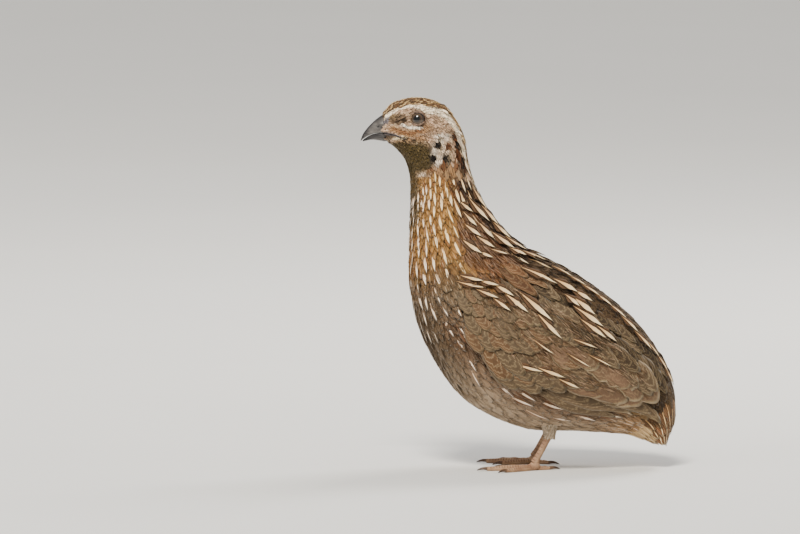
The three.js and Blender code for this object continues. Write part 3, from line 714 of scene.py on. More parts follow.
def coat(name, tracts, material):
    """Joins tracts into one piece with its markings and its two maps."""
    points, faces, loops, looks, start = [], [], [], [], 0
    for k in tracts:
        per = k.points.shape[1]
        one = leaf_faces(k.rows, k.cols)
        offsets = start + np.arange(k.n) * per
        faces.append((one[None] + offsets[:, None, None]).reshape(-1, 4))
        points.append(k.points.reshape(-1, 3))
        start += k.n * per
        vane = k.vane[one.ravel()]
        loops.append(np.tile(vane, (k.n, 1)))
        home = np.stack([np.clip(k.root_t / LAST_STATION, 0, 1), (k.root_a / (2 * np.pi)) % 1], -1)
        home = PATCH_MARGIN + (1 - 2 * PATCH_MARGIN) * home
        patch = home[:, None] + PATCH_SIZE * (vane[None] - 0.5)
        looks.append([np.repeat(np.concatenate([k.ground, k.chance[:, None]], 1), per, 0),
                      np.repeat(np.concatenate([k.mark, k.chance[:, None]], 1), per, 0),
                      np.repeat(k.plan, per, 0), patch.reshape(-1, 2)])
    points, faces = np.concatenate(points) * MM, np.concatenate(faces)
    ground, mark, plan, bake = (np.concatenate(c) for c in zip(*looks))
    mesh = bpy.data.meshes.new(name)
    mesh.vertices.add(len(points))
    mesh.vertices.foreach_set("co", points.astype(np.float32).ravel())
    mesh.loops.add(faces.size)
    mesh.loops.foreach_set("vertex_index", faces.astype(np.int32).ravel())
    mesh.polygons.add(len(faces))
    mesh.polygons.foreach_set("loop_start", np.arange(len(faces), dtype=np.int32) * 4)
    mesh.update(calc_edges=True)
    for key, values in (("vane", np.concatenate(loops)), ("OFBake", bake)):
        mesh.uv_layers.new(name=key).data.foreach_set("uv", values.astype(np.float32).ravel())
    finish_piece(name, mesh, material, (), {"ground": ground, "mark": mark, "plan": plan})


# %% [markdown]
# ## The feather's own pattern
# On a real vane the colours are laid down barb by barb, so every edge of a mark is slightly frayed along
# the barbs, which run outward and forward from the shaft. The material follows that: its marks are
# worked out in the leaf's own map, u across and v along, and shifted by a fine noise that is stretched
# along the barbs. A streak is drop-shaped, golden at its root and cream at its tip.

# %% The material of the feathers
FULL_TURN = 6.283


def feather_finish(name, barbs, painted_light=1.0):
    """Ground, then bars, fringe, border and streak over it, each as strong as the feather says, with painted
    shade at the root and down the middle, and a factor of painted light.
    """
    f = Finish(name)
    uv = f.node("ShaderNodeUVMap", {"uv_map": "vane"})
    u, v = (f.node("ShaderNodeSeparateXYZ", inputs={0: uv}, output=k) for k in (0, 1))
    side = (u * 2.0 - 1.0).math("ABSOLUTE")
    seed = f.attribute("ground", 3)
    streak, bars, fringe = (f.node("ShaderNodeSeparateColor", inputs={0: f.attribute("plan", 0)}, output=k)
                            for k in (0, 1, 2))
    border = f.attribute("plan", 3)
    barb = v * barbs - side * barbs * 0.22 + seed * 60.0
    thread = f.node("ShaderNodeCombineXYZ", inputs={0: barb, 1: side * 1.2, 2: seed * 37.0})
    fine = f.noise(1.0, 2.0, thread)
    frayed = side + (fine - 0.5) * 0.16
    drop = (v * 0.9 + 0.2).clamped() * (1.0 - v.ease(0.74, 1.03) * 0.95)
    inside = streak * drop
    on_streak = frayed.ease(inside + 0.05, inside - 0.03) * streak.ease(0.02, 0.08)
    on_border = frayed.ease(inside + 0.42, inside + 0.16) * border
    wave = v * 6.5 + side * side * 2.1 + (f.noise(0.35, 2.0, thread) - 0.5) * 1.6 + seed * 3.0
    on_bars = (wave * FULL_TURN).math("SINE").ease(0.45, 0.95) * bars * 0.8
    rim = side.math("POWER", 4.0).math("MAXIMUM", v.math("POWER", 7.0))
    on_fringe = (rim + (fine - 0.5) * 0.3).ease(0.5, 0.85) * fringe
    ground = f.attribute("ground", 0)
    mark = f.attribute("mark", 0)
    colour = f.mix(on_bars, ground, f.mix(0.5, ground, mark))
    colour = f.mix(on_fringe, colour, f.mix(0.8, ground, mark))
    colour = f.mix(on_border, colour, f.lit(ground, 0.42))
    # The last factor is painted light: it makes a whole material lighter to stand for light falling on it.
    light = (0.76 + seed * 0.3 + (fine - 0.5) * 0.5) * painted_light
    # Painted shade: each root is darkened where the feathers in front cover it, and each vane's middle is
    # darker than its edges so that it looks rounded.
    light = light * (0.7 + v.ease(0.0, 0.4) * 0.3) * (0.86 + side * 0.16)
    colour = f.lit(colour, light)
    gilt = f.node("ShaderNodeMix", {"data_type": "RGBA", "blend_type": "MULTIPLY"},
                  {0: v.ease(0.95, 0.3) * 0.6, 6: mark, 7: paint("#dba866")}, 2)
    colour = f.mix(on_streak, colour, f.lit(gilt, 0.96 + (fine - 0.5) * 0.3))
    shaft = side.ease(0.09, 0.02)
    normal = f.bump(fine * 0.6 + shaft * 0.5, 0.5, 0.00018)
    rough = 0.58 + fine * 0.22
    return f.surface(colour, rough, normal, Sheen_Weight=0.12, Sheen_Roughness=0.4,
                     Specular_IOR_Level=0.32)


BODY_FEATHERS = feather_finish("body feather", 34.0)
# The head's feathers are painted 1.28 times lighter, as painted light on the head.
HEAD_FEATHERS = feather_finish("head feather", 16.0, 1.28)
QUILLS = feather_finish("wing and tail feather", 62.0)

# %% [markdown]
# ## The skin
# The skin lies a millimetre or two under the feathers' surface and closes every gap between them. It is
# one closed shell from bill to tail with the two thighs in it.

# %% The skin under the coat
def skin_depth(t):
    """Half a millimetre at the bill, one on the head, more on neck and body."""
    return 0.45 + 0.75 * ease(t, 0.4, 3.0) + 0.75 * ease(t, 4.0, 8.0) - 0.9 * ease(t, 12.3, 14.0)


SHIELD_T = np.linspace(7.25, 11.75, 6)
SHIELD_TOP = [0.3, 0.22, 0.16, 0.13, 0.14, 0.2]
SHIELD_LOW = [0.68, 0.77, 0.7, 0.6, 0.5, 0.42]


def wing_cover(t, share):
    """1 under the wing's shield and 0 beside it, with a soft edge."""
    top, low = np.interp(t, SHIELD_T, SHIELD_TOP), np.interp(t, SHIELD_T, SHIELD_LOW)
    ends = ease(t, 7.2, 8.0) * (1 - ease(t, 10.9, 11.9))
    return ends * ease(share, top, top + 0.1) * (1 - ease(share, low - 0.1, low))


SKIN_ROWS, SKIN_COLS = 220, 128
UNDER_WING_RISE = 0.8  # how far the skin stands over the plumage's surface where a wing lies on it
skin_t, skin_a = np.meshgrid(np.linspace(0.02, LAST_STATION - 0.02, SKIN_ROWS), round_steps(SKIN_COLS),
                             indexing="ij")
depth = skin_depth(skin_t)
on_wing = wing_cover(skin_t, share_at(skin_a))
trunk = closed_tube(raised(plumage, skin_t, skin_a, on_wing * (depth + UNDER_WING_RISE) - depth))
print("skin points:", len(trunk[0]))


# %% The thighs
HIP = np.array([12.0, 11.5 + TO_ORIGIN, 26.0])
KNEE = np.array([12.0, 11.3 + TO_ORIGIN, 12.8])
HIP_HALF, KNEE_HALF = 6.0, 1.9


def thigh(u, a, grow=0.0):
    """A cone from hip to knee, oval in section; u runs down it from 0 to 1, and an even tube goes on."""
    u = np.asarray(u, float)
    half = KNEE_HALF + (HIP_HALF - KNEE_HALF) * np.maximum(1 - u, 0) ** 1.3 + grow
    centre = HIP + (KNEE - HIP) * u[..., None]
    ring = np.stack([-0.9 * np.cos(a) * half, 1.1 * np.sin(a) * half, np.zeros_like(a * u)], -1)
    return centre + ring


thigh_u, thigh_a = np.meshgrid(np.linspace(0, 1, 30), round_steps(32), indexing="ij")
left_thigh = closed_tube(thigh(thigh_u, thigh_a, -0.4))
skin_points, skin_faces = joined([trunk, left_thigh, mirrored(left_thigh)])
print("points of both thighs:", 2 * len(left_thigh[0]))


# %% The down in painted shade, and the skin as one piece
def shaded_down_finish():
    """The down between the feathers: the place's own colour, darker, in fine tufts; the darkening is painted
    shade in the gaps of the coat.
    """
    f = Finish("down")
    tufts = f.noise(900.0, 4.0)
    # Painted shade: the place's colour at a quarter to three quarters of its lightness.
    dark = f.lit(f.attribute("ground", 0), tufts * 0.5 + 0.25)
    return f.surface(dark, 0.85, f.bump(tufts, 0.6, 0.0003), Sheen_Weight=0.1)


# The thighs take the looks of one place on the flank.
FLANK_T, FLANK_A = 10.5, 2.4
thigh_count = 2 * len(left_thigh[0])
at_t = np.concatenate([with_poles(skin_t, 0.0, LAST_STATION), np.full(thigh_count, FLANK_T)])
at_a = np.concatenate([with_poles(skin_a, np.pi / 2, np.pi / 2), np.full(thigh_count, FLANK_A)])
ground, mark, plan = look(skin_points, at_t, share_at(at_a), np.full(len(at_t), 0.5))
one_each = np.ones((len(skin_points), 1))
piece("skin", (skin_points, skin_faces), shaded_down_finish(), "plumage",
      ("head", "neck", "torso", "tail", "wing_left", "wing_right", "drumstick_left", "drumstick_right"),
      ground=np.concatenate([ground, one_each], 1), mark=np.concatenate([mark, one_each], 1), plan=plan)

# %% [markdown]
# ## Rows of feathers over the body
# Feathers stand in slanting rows, like roof tiles, each over the gap of two behind it. They are smallest
# at the bill and largest on the back and rump. So the spacing follows the size: rows are laid along the
# body at a share of the local feather length, and each row is divided by the local width.

# %% How large the feathers are
BODY_SIZE = {
    # station: length on the back, length on the belly, width as a share of the length
    0.0: (1.9, 1.7, 0.58), 1.5: (2.6, 2.4, 0.52), 3.0: (3.4, 3.2, 0.52), 4.0: (5.0, 4.4, 0.50),
    5.0: (6.4, 5.8, 0.48), 6.0: (8.4, 7.0, 0.48), 7.0: (10.0, 7.6, 0.50), 8.0: (11.0, 8.0, 0.48),
    9.5: (12.0, 8.6, 0.48), 11.0: (12.0, 9.0, 0.46), 12.5: (11.0, 9.0, 0.42), 14.0: (9.0, 8.0, 0.4),
}
SIZE_T = np.array(list(BODY_SIZE))
SIZE_ROWS = np.array(list(BODY_SIZE.values()))


def feather_size(t, share):
    """Length and width at a place, between the table's back and belly values."""
    back, belly, slim = (np.interp(t, SIZE_T, SIZE_ROWS[:, k]) for k in range(3))
    length = back + (belly - back) * share
    return length, length * slim


# %% Where the roots stand
def body_roots(start, end, pitch, gap, keep=None):
    """Rings of roots from one station to another; pitch and gap are shares of length and width."""
    ring = np.linspace(0, 2 * np.pi, 721)
    t, number, found = start, 0, []
    while t < end:
        line = plumage(np.full(ring.shape, t), ring)
        steps = np.linalg.norm(np.diff(line, axis=0), axis=-1)
        middle = (ring[1:] + ring[:-1]) / 2
        width = feather_size(t, share_at(middle))[1] * gap
        count = np.concatenate([[0], np.cumsum(steps / width)])
        whole = max(int(round(count[-1])), 6)
        places = (np.arange(whole) + 0.5 * (number % 2)) / whole * count[-1]
        a = np.interp(places, count, ring) + draw.normal(0, 0.012, whole)
        found.append(np.stack([t + draw.normal(0, 0.02, whole), a], -1))
        run = np.linalg.norm(slopes(plumage, np.full(2, t), np.array([0.8, 2.3]))[0], axis=-1).mean()
        t += pitch * feather_size(t, 0.5)[0] / run
        number += 1
    roots = np.concatenate(found)
    t, a = roots[:, 0], (roots[:, 1] + np.pi) % (2 * np.pi) - np.pi
    if keep is not None:
        chosen = keep(t, a)
        t, a = t[chosen], a[chosen]
    return t, a


# %% Where the wing, the eye and the mouth are
def under_wing(t, a):
    """Where the folded wing lies over the body, so that short feathers aren't needed."""
    share = share_at(a)
    top = np.interp(t, [7.6, 8.5, 10, 11.2], [0.36, 0.27, 0.22, 0.26])
    low = np.interp(t, [7.6, 8.5, 10, 11.2], [0.6, 0.66, 0.55, 0.42])
    return (t > 7.6) & (t < 11.0) & (share > top) & (share < low)


def off_the_bill(t, a):
    """Keeps roots off the eyes and the line of the mouth."""
    place = plumage(t, a)
    on_left = np.concatenate([np.abs(place[:, :1]), place[:, 1:]], 1)
    off_eye = np.linalg.norm(on_left - EYE_FACE, axis=-1) > 3.0
    gap = line_distance(place[:, 1], place[:, 2], MOUTH_PIXELS)[0]
    return off_eye & (gap > 0.4)


def on_side(places, seen=False):
    """Station and angle of side-view places: the section whose chord passes nearest to each.

    With seen, the places lie on the photograph's sheet, so each is lifted by what its own distance from
    the middle makes it sink.
    """
    fine = np.linspace(0.0, LAST_STATION, 1401)
    back, belly = plumage(fine, 0.0)[:, 1:], plumage(fine, np.pi)[:, 1:]
    chord = belly - back
    size = (chord * chord).sum(-1)
    aim = np.array(places, float)
    for _ in range(4 if seen else 1):
        off = aim[:, None] - back
        share = np.clip((off * chord).sum(-1) / size, 0, 1)
        gap = np.linalg.norm(off - share[..., None] * chord, axis=-1)
        pick = gap.argmin(axis=1)
        t = fine[pick]
        a = angle_at(np.clip(share[np.arange(len(pick)), pick], 0.004, 0.996))
        if seen:
            aim = aim + np.stack([0 * t, places[:, 1] - sheet_height(plumage(t, a))], -1)
    return t, a


EYE_SUNK = 2.15  # how far the eyeball's centre lies under the plumage's surface
EYE_T, EYE_A = on_side(np.array([[-39.4 + TO_ORIGIN, 135.5]]))
EYE_WAY = outward(plumage, EYE_T, EYE_A)[0]
EYE_FACE = plumage(EYE_T, EYE_A)[0]
EYE = EYE_FACE - EYE_WAY * EYE_SUNK
# The line of the mouth behind the horn, in side view.
MOUTH_LINE = np.array([(-53.6, 129.4), (-51.4, 129.35), (-48.2, 128.85), (-45.5, 127.85), (-43.9, 127.35)])
MOUTH_LINE[:, 0] += TO_ORIGIN
MOUTH_PIXELS = [((y - TO_ORIGIN) / PIXEL + PIXEL_AT_ORIGIN[0], PIXEL_AT_ORIGIN[1] - z / PIXEL)
                for y, z in MOUTH_LINE]
print("eye centre:", EYE.round(2))


# %% Tracts of body feathers
def wing_front(t, share):
    """1 just in front of the folded wing, where the breast's feathers fall over its bend."""
    return ease(t, 6.5, 7.3) * (1 - ease(t, 7.7, 8.0)) * ease(share, 0.32, 0.42) * (1 - ease(share, 0.7, 0.8))


def body_tract(start, end, pitch, gap, rows, cols, keep=None, rough=4.0, streaked=False):
    """Feathers between two stations, with small chance turns, sizes and lifts."""
    t, a = body_roots(start, end, pitch, gap, keep)
    length, width = feather_size(t, share_at(a))
    n = len(t)
    plain = on_mantle(t + 0.3, share_at(a)) > 0.4
    length = length * draw.normal(1, 0.07, n) * np.where(streaked, 1.7, 1.0)
    width = width * draw.normal(1, 0.05, n) * np.where(streaked, 1.05, 1.0) * np.where(plain, 0.6, 1.0)
    lean = np.radians(draw.normal(0, 1, n) * (rough + 5 * ease(t, 7.5, 9.0) * ease(share_at(a), 0.5, 0.8)))
    depth = np.minimum(skin_depth(t) * 0.9, 1.5) * (1 - 0.35 * ease(t, 7.5, 9.0))
    bend = wing_front(t, share_at(a))
    over = (0.22 if streaked else 0.0) + 0.5 * bend
    high = over - 0.1 + 1.5 * bend + draw.normal(0, 0.1, n)
    return Tract(plumage, t, a, length, width, lean, over - depth, high, rows=rows, cols=cols).seen(streaked)


def may_be_streaked(t, a):
    """The streaks stop at the mantle's plain patch and at the wing, and go on along the flank."""
    share = share_at(a)
    flank = (share > 0.6) & (share < 0.84) & (t < 11.0)
    return ~under_wing(t, a) & (on_mantle(t + 0.5, share) < 0.35) & ((t < 7.8) | flank)


head_tract = body_tract(0.05, 3.75, 0.34, 0.56, 6, 4, off_the_bill)
neck_tract = body_tract(3.7, 6.3, 0.36, 0.62, 7, 5)
breast_tract = body_tract(6.3, 9.0, 0.24, 0.56, 8, 5, lambda t, a: ~under_wing(t, a))
rear_tract = body_tract(9.0, 12.6, 0.22, 0.54, 8, 5, lambda t, a: ~under_wing(t, a))
streak_tract = body_tract(3.75, 11.2, 0.78, 1.2, 13, 7, may_be_streaked, 3.0, True)
print("feathers:", head_tract.n, neck_tract.n, breast_tract.n, rear_tract.n, streak_tract.n)

# %% Round the bill and on the hind crown
# Height of a place on the face, and the y that the tips of the first feathers reach there.
FIRST_TIPS = np.array([(125.0, -54.6), (126.6, -53.2), (128.3, -50.6), (129.2, -51.0), (130.4, -54.2),
                       (131.4, -53.6), (132.8, -51.9), (134.4, -52.3), (136.2, -53.4), (139.0, -53.6)])


MOUTH_HEIGHT = 129.4
FACE_STATION = 0.1


def bill_base_tract(count):
    """Tiny feathers round the bill's root that point forward over the horn, less far at the nostril."""
    a = np.linspace(-np.pi, np.pi, count, endpoint=False) + draw.normal(0, 0.03, count)
    a = a[np.abs(plumage(np.full(count, FACE_STATION), a)[:, 2] - MOUTH_HEIGHT) > 0.5]
    length = 1.8 + 0.5 * draw.random(len(a))
    at_face = np.full(len(a), FACE_STATION)
    _, y, height = plumage(at_face, a).T
    reach = np.interp(height, *FIRST_TIPS.T) + TO_ORIGIN + draw.normal(0, 0.15, len(a))
    run = slopes(plumage, at_face, a)[0][:, 1]
    t = FACE_STATION + (reach + length - y) / run
    return Tract(plumage, t, a, length, 0.85, np.pi + draw.normal(0, 0.12, len(a)),
                 -0.4, 0.08, rows=6, cols=4).seen()


def crest_tract(count):
    """A few longer feathers of the hind crown that stand a little off the nape."""
    t = 2.6 + 0.4 * draw.random(count)
    return Tract(plumage, t, draw.normal(0, 0.3, count), 4.6, 1.7, draw.normal(0, 0.1, count),
                 -0.8, 0.05 + 0.5 * draw.random(count), rows=7, cols=5).seen()


coat("coat_head", [head_tract, bill_base_tract(120), bill_base_tract(120), crest_tract(26)], HEAD_FEATHERS)
for name, tract in (("neck", neck_tract), ("neck_streaks", streak_tract), ("breast", breast_tract),
                    ("rear", rear_tract)):
    coat("coat_" + name, [tract], BODY_FEATHERS)

# %% [markdown]
# ## Loose barbs over the coat
# The edges of small feathers are soft, because their last barbs don't hook into one another and lie
# about singly. Without them the rows look like the scales of a fish. They could be strands of hair, but
# a museum model needs solid forms. So each is a very narrow leaf that takes its place's own colour, a
# little lighter or darker, and lies just over the feathers.

# %% Loose barbs
def bare_of_wing(t, a):
    """Where the coat isn't covered by a folded wing."""
    return wing_cover(t, share_at(a)) < 0.3


def below_the_back(t, a):
    """The same without the back, whose larger feathers show their own edges."""
    return bare_of_wing(t, a) & (share_at(a) > 0.2)


NO_PATTERN = (0.0, 0.0, 0.0, 0.0)


def loose_barbs(start, end, count, keep=bare_of_wing, top=None, colours=None):
    """Single barbs that lie loosely over the coat and soften its edges, evenly spread over the skin.

    Their tips stand at top over the surface, and their ground colours come from the place or a function.
    """
    tries = 6 * count
    t = start + (end - start) * draw.random(tries)
    a = draw.uniform(-np.pi, np.pi, tries)
    run, turn = slopes(plumage, t, a)
    area = np.linalg.norm(np.cross(run, turn), axis=-1)
    chosen = (draw.random(tries) < area / area.max()) & keep(t, a)
    t, a = t[chosen][:count], a[chosen][:count]
    n, share = len(t), share_at(a)
    length = (0.55 if top is None else 0.42) * feather_size(t, share)[0] * draw.normal(1, 0.15, n)
    high = 0.08 + 1.0 * wing_front(t, share) if top is None else top(t, share)
    high = high + draw.normal(0, 0.1, n) * (0.4 + 0.6 * ease(t, 2.5, 4.5))
    width = 0.15 + 0.15 * ease(t, 2.5, 4.5)
    tract = Tract(plumage, t, a, length, width, np.radians(draw.normal(0, 9, n)), high - 0.6, high,
                  point=0.0, blunt=0.1, rows=5, cols=3).seen()
    pale = on_mantle(tract.tip_t, share_at(tract.tip_a)) * (tract.chance > 0.55)
    ground = mixed(tract.ground, PINKISH, 0.6 * pale) if colours is None else colours(tract)
    ground = ground * (0.75 + 0.6 * draw.random((n, 1)))
    return tract.dressed((np.minimum(ground, 0.9), tract.mark, NO_PATTERN))


def silky_barbs(count):
    """Long thin barbs on the plain patch between neck and wing, rufous, pinkish and dark by turns."""
    tries = 12 * count
    t = 5.7 + 2.6 * draw.random(tries)
    a = draw.choice((-1, 1), tries) * draw.uniform(0.3, 1.6, tries)
    chosen = on_mantle(t + 0.5, share_at(a)) > draw.random(tries)
    t, a = t[chosen][:count], a[chosen][:count]
    n = len(t)
    high = 0.12 + 0.7 * wing_front(t, share_at(a)) + draw.normal(0, 0.12, n)
    tract = Tract(plumage, t, a, draw.normal(8.0, 1.2, n), 0.2, np.radians(draw.normal(0, 7, n)), high - 0.5,
                  high, point=0.0, blunt=0.1, rows=7, cols=3)
    pale, dark = tract.chance > 0.6, tract.chance < 0.25
    return tract.dressed((mixed(mixed(RUFOUS, PINKISH, 0.75 * pale), DARK, 0.6 * dark), BUFF, NO_PATTERN))


coat("coat_barbs_head", [loose_barbs(0.5, 3.7, 5600, off_the_bill)], HEAD_FEATHERS)
coat("coat_barbs_front", [loose_barbs(3.4, 7.6, 5800)], BODY_FEATHERS)
coat("coat_barbs_mantle", [silky_barbs(1800)], BODY_FEATHERS)
coat("coat_barbs_rear", [loose_barbs(7.4, 13.0, 5800, below_the_back)], BODY_FEATHERS)

# %% [markdown]
# ## Folded wings
# A quail's folded wing is a short, rounded shield. Its long quills lie lowest and point to the tail, the
# tertials cover them, and rows of coverts lie over the roots of the quills, each row shorter than the one
# it covers. The shoulder feathers fall over the wing's upper edge. Each of these tiers is laid here as a
# row of leaves along a line on the body, with the upper leaf's lower edge over its neighbour.

# %% The tiers of the wing
# name: count, first root, last root (station, share), length, width, lean in degrees, height of the roots
# and of the tips, how blunt the tip is, and how far the vanes' edges lag behind the shaft
WING_TIERS = {
    "primaries": (7, (9.4, 0.69), (10.0, 0.50), 40, 6.6, -2, 0.9, 1.7, 0.35, 0.12),
    "tertials": (7, (9.25, 0.56), (9.8, 0.20), 32, 11.0, 1, 1.0, 2.2, 0.65, 0.14),
    "greater coverts": (12, (8.5, 0.72), (9.25, 0.33), 22, 8.6, 2, 1.3, 2.25, 0.66, 0.16),
    "second coverts": (12, (8.2, 0.71), (8.95, 0.33), 19, 8.0, 2, 1.3, 2.3, 0.66, 0.16),
    "median coverts": (12, (7.85, 0.70), (8.5, 0.32), 16, 7.4, 3, 1.3, 2.45, 0.66, 0.18),
    "lesser coverts": (12, (7.6, 0.67), (8.2, 0.33), 13, 6.4, 4, 1.2, 2.5, 0.64, 0.18),
    "small coverts": (12, (7.4, 0.64), (7.95, 0.34), 11, 5.6, 4, 0.7, 2.4, 0.64, 0.18),
    "edge coverts": (11, (7.2, 0.61), (7.65, 0.36), 9.5, 5.0, 4, 0.0, 2.1, 0.64, 0.2),
    "low scapulars": (8, (8.6, 0.36), (10.1, 0.26), 21, 9.6, 12, 1.4, 2.6, 0.7, 0.14),
    "outer scapulars": (13, (7.35, 0.33), (10.3, 0.19), 22, 8.2, 7, 1.1, 2.8, 0.55, 0.2),
    "inner scapulars": (14, (7.1, 0.27), (10.4, 0.11), 20, 7.6, 5, -0.6, 1.9, 0.5, 0.22),
    "mantle edge": (14, (6.9, 0.2), (10.4, 0.05), 17, 7.0, 3, -1.0, 0.8, 0.5, 0.25),
}
ROLL = 0.09  # how far a vane's upper edge is tucked under the next feather


def wing_look(kind, chance, root_t):
    """Brown coverts with a thin pale rim, barred quills, and pinkish tertials."""
    mark = mixed(BUFF, CREAM, 0.2 + 0.3 * chance)
    if kind == "primaries":
        return mixed(UMBER, GREY_BROWN, chance), mark, (0.0, 0.55, 0.35, 0.1)
    if kind in ("tertials", "low scapulars"):
        ground = mixed(mixed(PINKISH, RUFOUS, 0.55), UMBER, 0.45 + 0.45 * chance)
        return ground, mark, (0.0, 0.4, 0.75, 0.15)
    if kind in ("outer scapulars", "inner scapulars", "mantle edge"):
        ground = mixed(mixed(UMBER, GREY_BROWN, 0.5 * chance), DARK, 0.5 * (1 - chance))
        near_neck = 0.8 - 0.8 * ease(root_t, 7.0, 7.7)
        return mixed(ground, mixed(RUFOUS, UMBER, 0.3), near_neck), mark, (0.0, 0.7, 0.4, 0.3)
    brown = mixed(mixed(GREY_BROWN, UMBER, 0.3 + 0.6 * chance), RUFOUS, 0.25 * (chance > 0.6))
    return brown, mark, (0.0, 0.6, 0.35, 0.2)


def tier(side, count, first, last, length, width, lean, low, high, blunt, point, rows=12, cols=7):
    """A row of leaves whose roots stand between two places; side is 1 on the left and -1 on the right."""
    k = (np.arange(count) + 0.5) / count
    t = first[0] + (last[0] - first[0]) * k + draw.normal(0, 0.07, count)
    share = first[1] + (last[1] - first[1]) * k
    leans = np.radians(lean + draw.normal(0, 4.0, count))
    lengths = length * (1 + draw.normal(0, 0.09, count))
    lift = draw.normal(0, 0.06, count)
    return Tract(plumage, t, side * angle_at(share), lengths, width, leans, low + lift, high + lift,
                 point=point, blunt=blunt, rows=rows, cols=cols, roll=ROLL * side)


def wing(side):
    """All tiers of one wing, dressed."""
    tracts = []
    for kind, numbers in WING_TIERS.items():
        tract = tier(side, *numbers)
        tracts.append(tract.dressed(wing_look(kind, tract.chance, tract.root_t)))
    return tracts


# %% [markdown]
# ## The cream streaks in rows
# What catches the eye on this bird are rows of long cream dashes from the nape to the rump, each the
# shaft of one feather with a black line on both sides. They are too regular to leave to chance, so they
# are laid along the lines that the photograph shows, on top of the other feathers. The side view sees the
# rows along the back nearly edge-on, so their feathers are made wider there and lie a little beside it.

# %% Where the dashes lie
# Each dash: where it starts and ends in the photograph, in pixels, and its width there.
DASHES = np.array([
    (465, 276.5, 485, 281.5, 4.4), (481, 282, 498, 289.5, 4.6), (496, 287, 514, 298.5, 5.5),
    (508, 298, 528, 314, 6.2), (524, 299, 552, 323, 6.7), (540, 319, 561, 341, 5.3),
    (462, 283.5, 484, 292, 3.8), (480, 292, 498, 301.5, 4.1), (496, 301, 511, 312, 4.1),
    (527, 272.5, 556, 287, 4.6), (556, 284, 576, 295, 4.6), (573, 294, 590, 305, 4.4),
    (566, 299, 577, 309.5, 4.4), (573, 302, 593, 318.5, 5.8), (578, 313, 601, 329.5, 6.2),
    (583, 325, 603, 341, 5.8), (598, 330.5, 613, 344, 5.0),
    (535, 341, 553, 355.5, 1.9), (574, 341, 595, 350.5, 2.3), (569, 355.5, 589, 368, 1.9),
    (590, 357, 609, 367, 1.7),
    (560, 266, 577, 275.5, 1.9), (575, 274.5, 590, 284.5, 2.2), (588, 283, 603, 294.5, 2.2),
    (601, 293, 615, 306.5, 2.3), (613, 305, 627, 320.5, 2.5), (625, 319, 638, 337, 2.7),
    (636, 335, 649, 353, 2.4), (651, 341, 660, 357, 1.8), (658, 354, 668, 371, 1.9),
    (666, 368, 675, 384, 1.9),
    (472, 203, 487, 225, 5.0), (481, 225, 493, 239.5, 5.2), (479, 238, 493.5, 250, 5.6),
    (461, 203, 471, 214, 4.6), (466, 215, 476, 228, 5.0), (467, 226, 481, 238, 5.2),
    (465, 242, 481, 256, 6.0), (479.5, 252, 492, 259.5, 4.6), (496, 236.5, 514, 252, 5.0),
    (512, 250, 525, 259, 3.9), (493, 250, 507, 257.5, 3.0), (485, 210, 498, 227, 4.3),
    (496, 225, 511, 241, 4.3), (475, 192, 487, 211, 3.9), (509, 239, 528, 254, 3.0),
    (526, 253, 545, 264, 2.8), (519, 364, 543, 373, 3.8), (540, 368, 563, 379, 4.4),
    (560, 378.5, 578, 387, 3.5),
])


TOP_SHARE = [0.0, 0.07, 0.14, 0.24, 0.5, 0.62, 0.72]
TOP_RISE = [0.5, 1.1, 2.1, 2.9, 2.7, 2.2, 0.3]


# %% Rows of streaked feathers
def coat_top(t, share):
    """How high the tips of the coat stand over the body's surface: nearly three millimetres on the wing."""
    ends = ease(t, 6.8, 7.9) * (1 - ease(t, 12.0, 13.0))
    return 0.15 + ends * np.interp(share, TOP_SHARE, TOP_RISE)


def lean_along(t, a, way):
    """The lean that makes a feather on the left follow a direction of the side view."""
    run, turn = slopes(plumage, t, a)
    size = run[:, 1] * turn[:, 2] - run[:, 2] * turn[:, 1]
    with_run = (way[:, 0] * turn[:, 2] - way[:, 1] * turn[:, 1]) / size
    with_turn = (run[:, 1] * way[:, 1] - run[:, 2] * way[:, 0]) / size
    vector = with_run[:, None] * run + with_turn[:, None] * turn
    lie = unit(run)
    down = unit(np.cross(lie, np.cross(turn, run)))
    return np.arctan2((vector * down).sum(-1), (vector * lie).sum(-1))


# No dash lies nearer to the back line than this angle.
BACK_ROW = angle_at(0.035)


def dashes(side):
    """The streaked feathers of one side: each ends where its dash ends and starts a little before it.

    Near the back line they follow that line, and are wider and higher, because the side view sees
    them nearly edge-on.
    """
    ends = DASHES[:, 2:4]
    starts = ends + (DASHES[:, :2] - ends) * 1.35
    root, tip = seen_at(starts), seen_at(ends)
    t, a = on_side(root, seen=True)
    tip_t, tip_a = on_side(tip, seen=True)
    a, tip_a = np.maximum(a, BACK_ROW), np.maximum(tip_a, BACK_ROW)
    length = np.linalg.norm(plumage(tip_t, tip_a) - plumage(t, a), axis=-1)
    aimed = np.clip(lean_along(t, a, tip - root), -0.7, 0.7)
    follow = 0.2 + 0.8 * ease(share_at(a), 0.04, 0.2)
    lean = aimed * follow + draw.normal(0, 0.02, len(ends))
    length = length * np.cos(aimed) / np.cos(lean)
    a = a + 0.6 * (1 - follow) * (tip_a - a)
    edge_on = 1 - follow
    top = coat_top(t, share_at(a)) + 0.3 * edge_on
    streak = DASHES[:, 4] * PIXEL * (1 + 1.1 * edge_on)
    width = streak * 1.6 + 1.3
    tract = Tract(plumage, t, side * a, length, width, lean, top - 0.45,
                  coat_top(tip_t, share_at(tip_a)) + 0.5 + 0.3 * edge_on, point=0.4, blunt=0.3,
                  rows=13, cols=9)
    ground = mixed(mixed(UMBER, RUFOUS, 0.4), DARK, 0.5 * tract.chance)
    mark = mixed(CREAM, BUFF, 0.1 + 0.2 * tract.chance)
    plan = np.stack(np.broadcast_arrays(streak / width, 0.2, 0.0, 0.95), -1)
    return tract.dressed((ground, mark, plan))


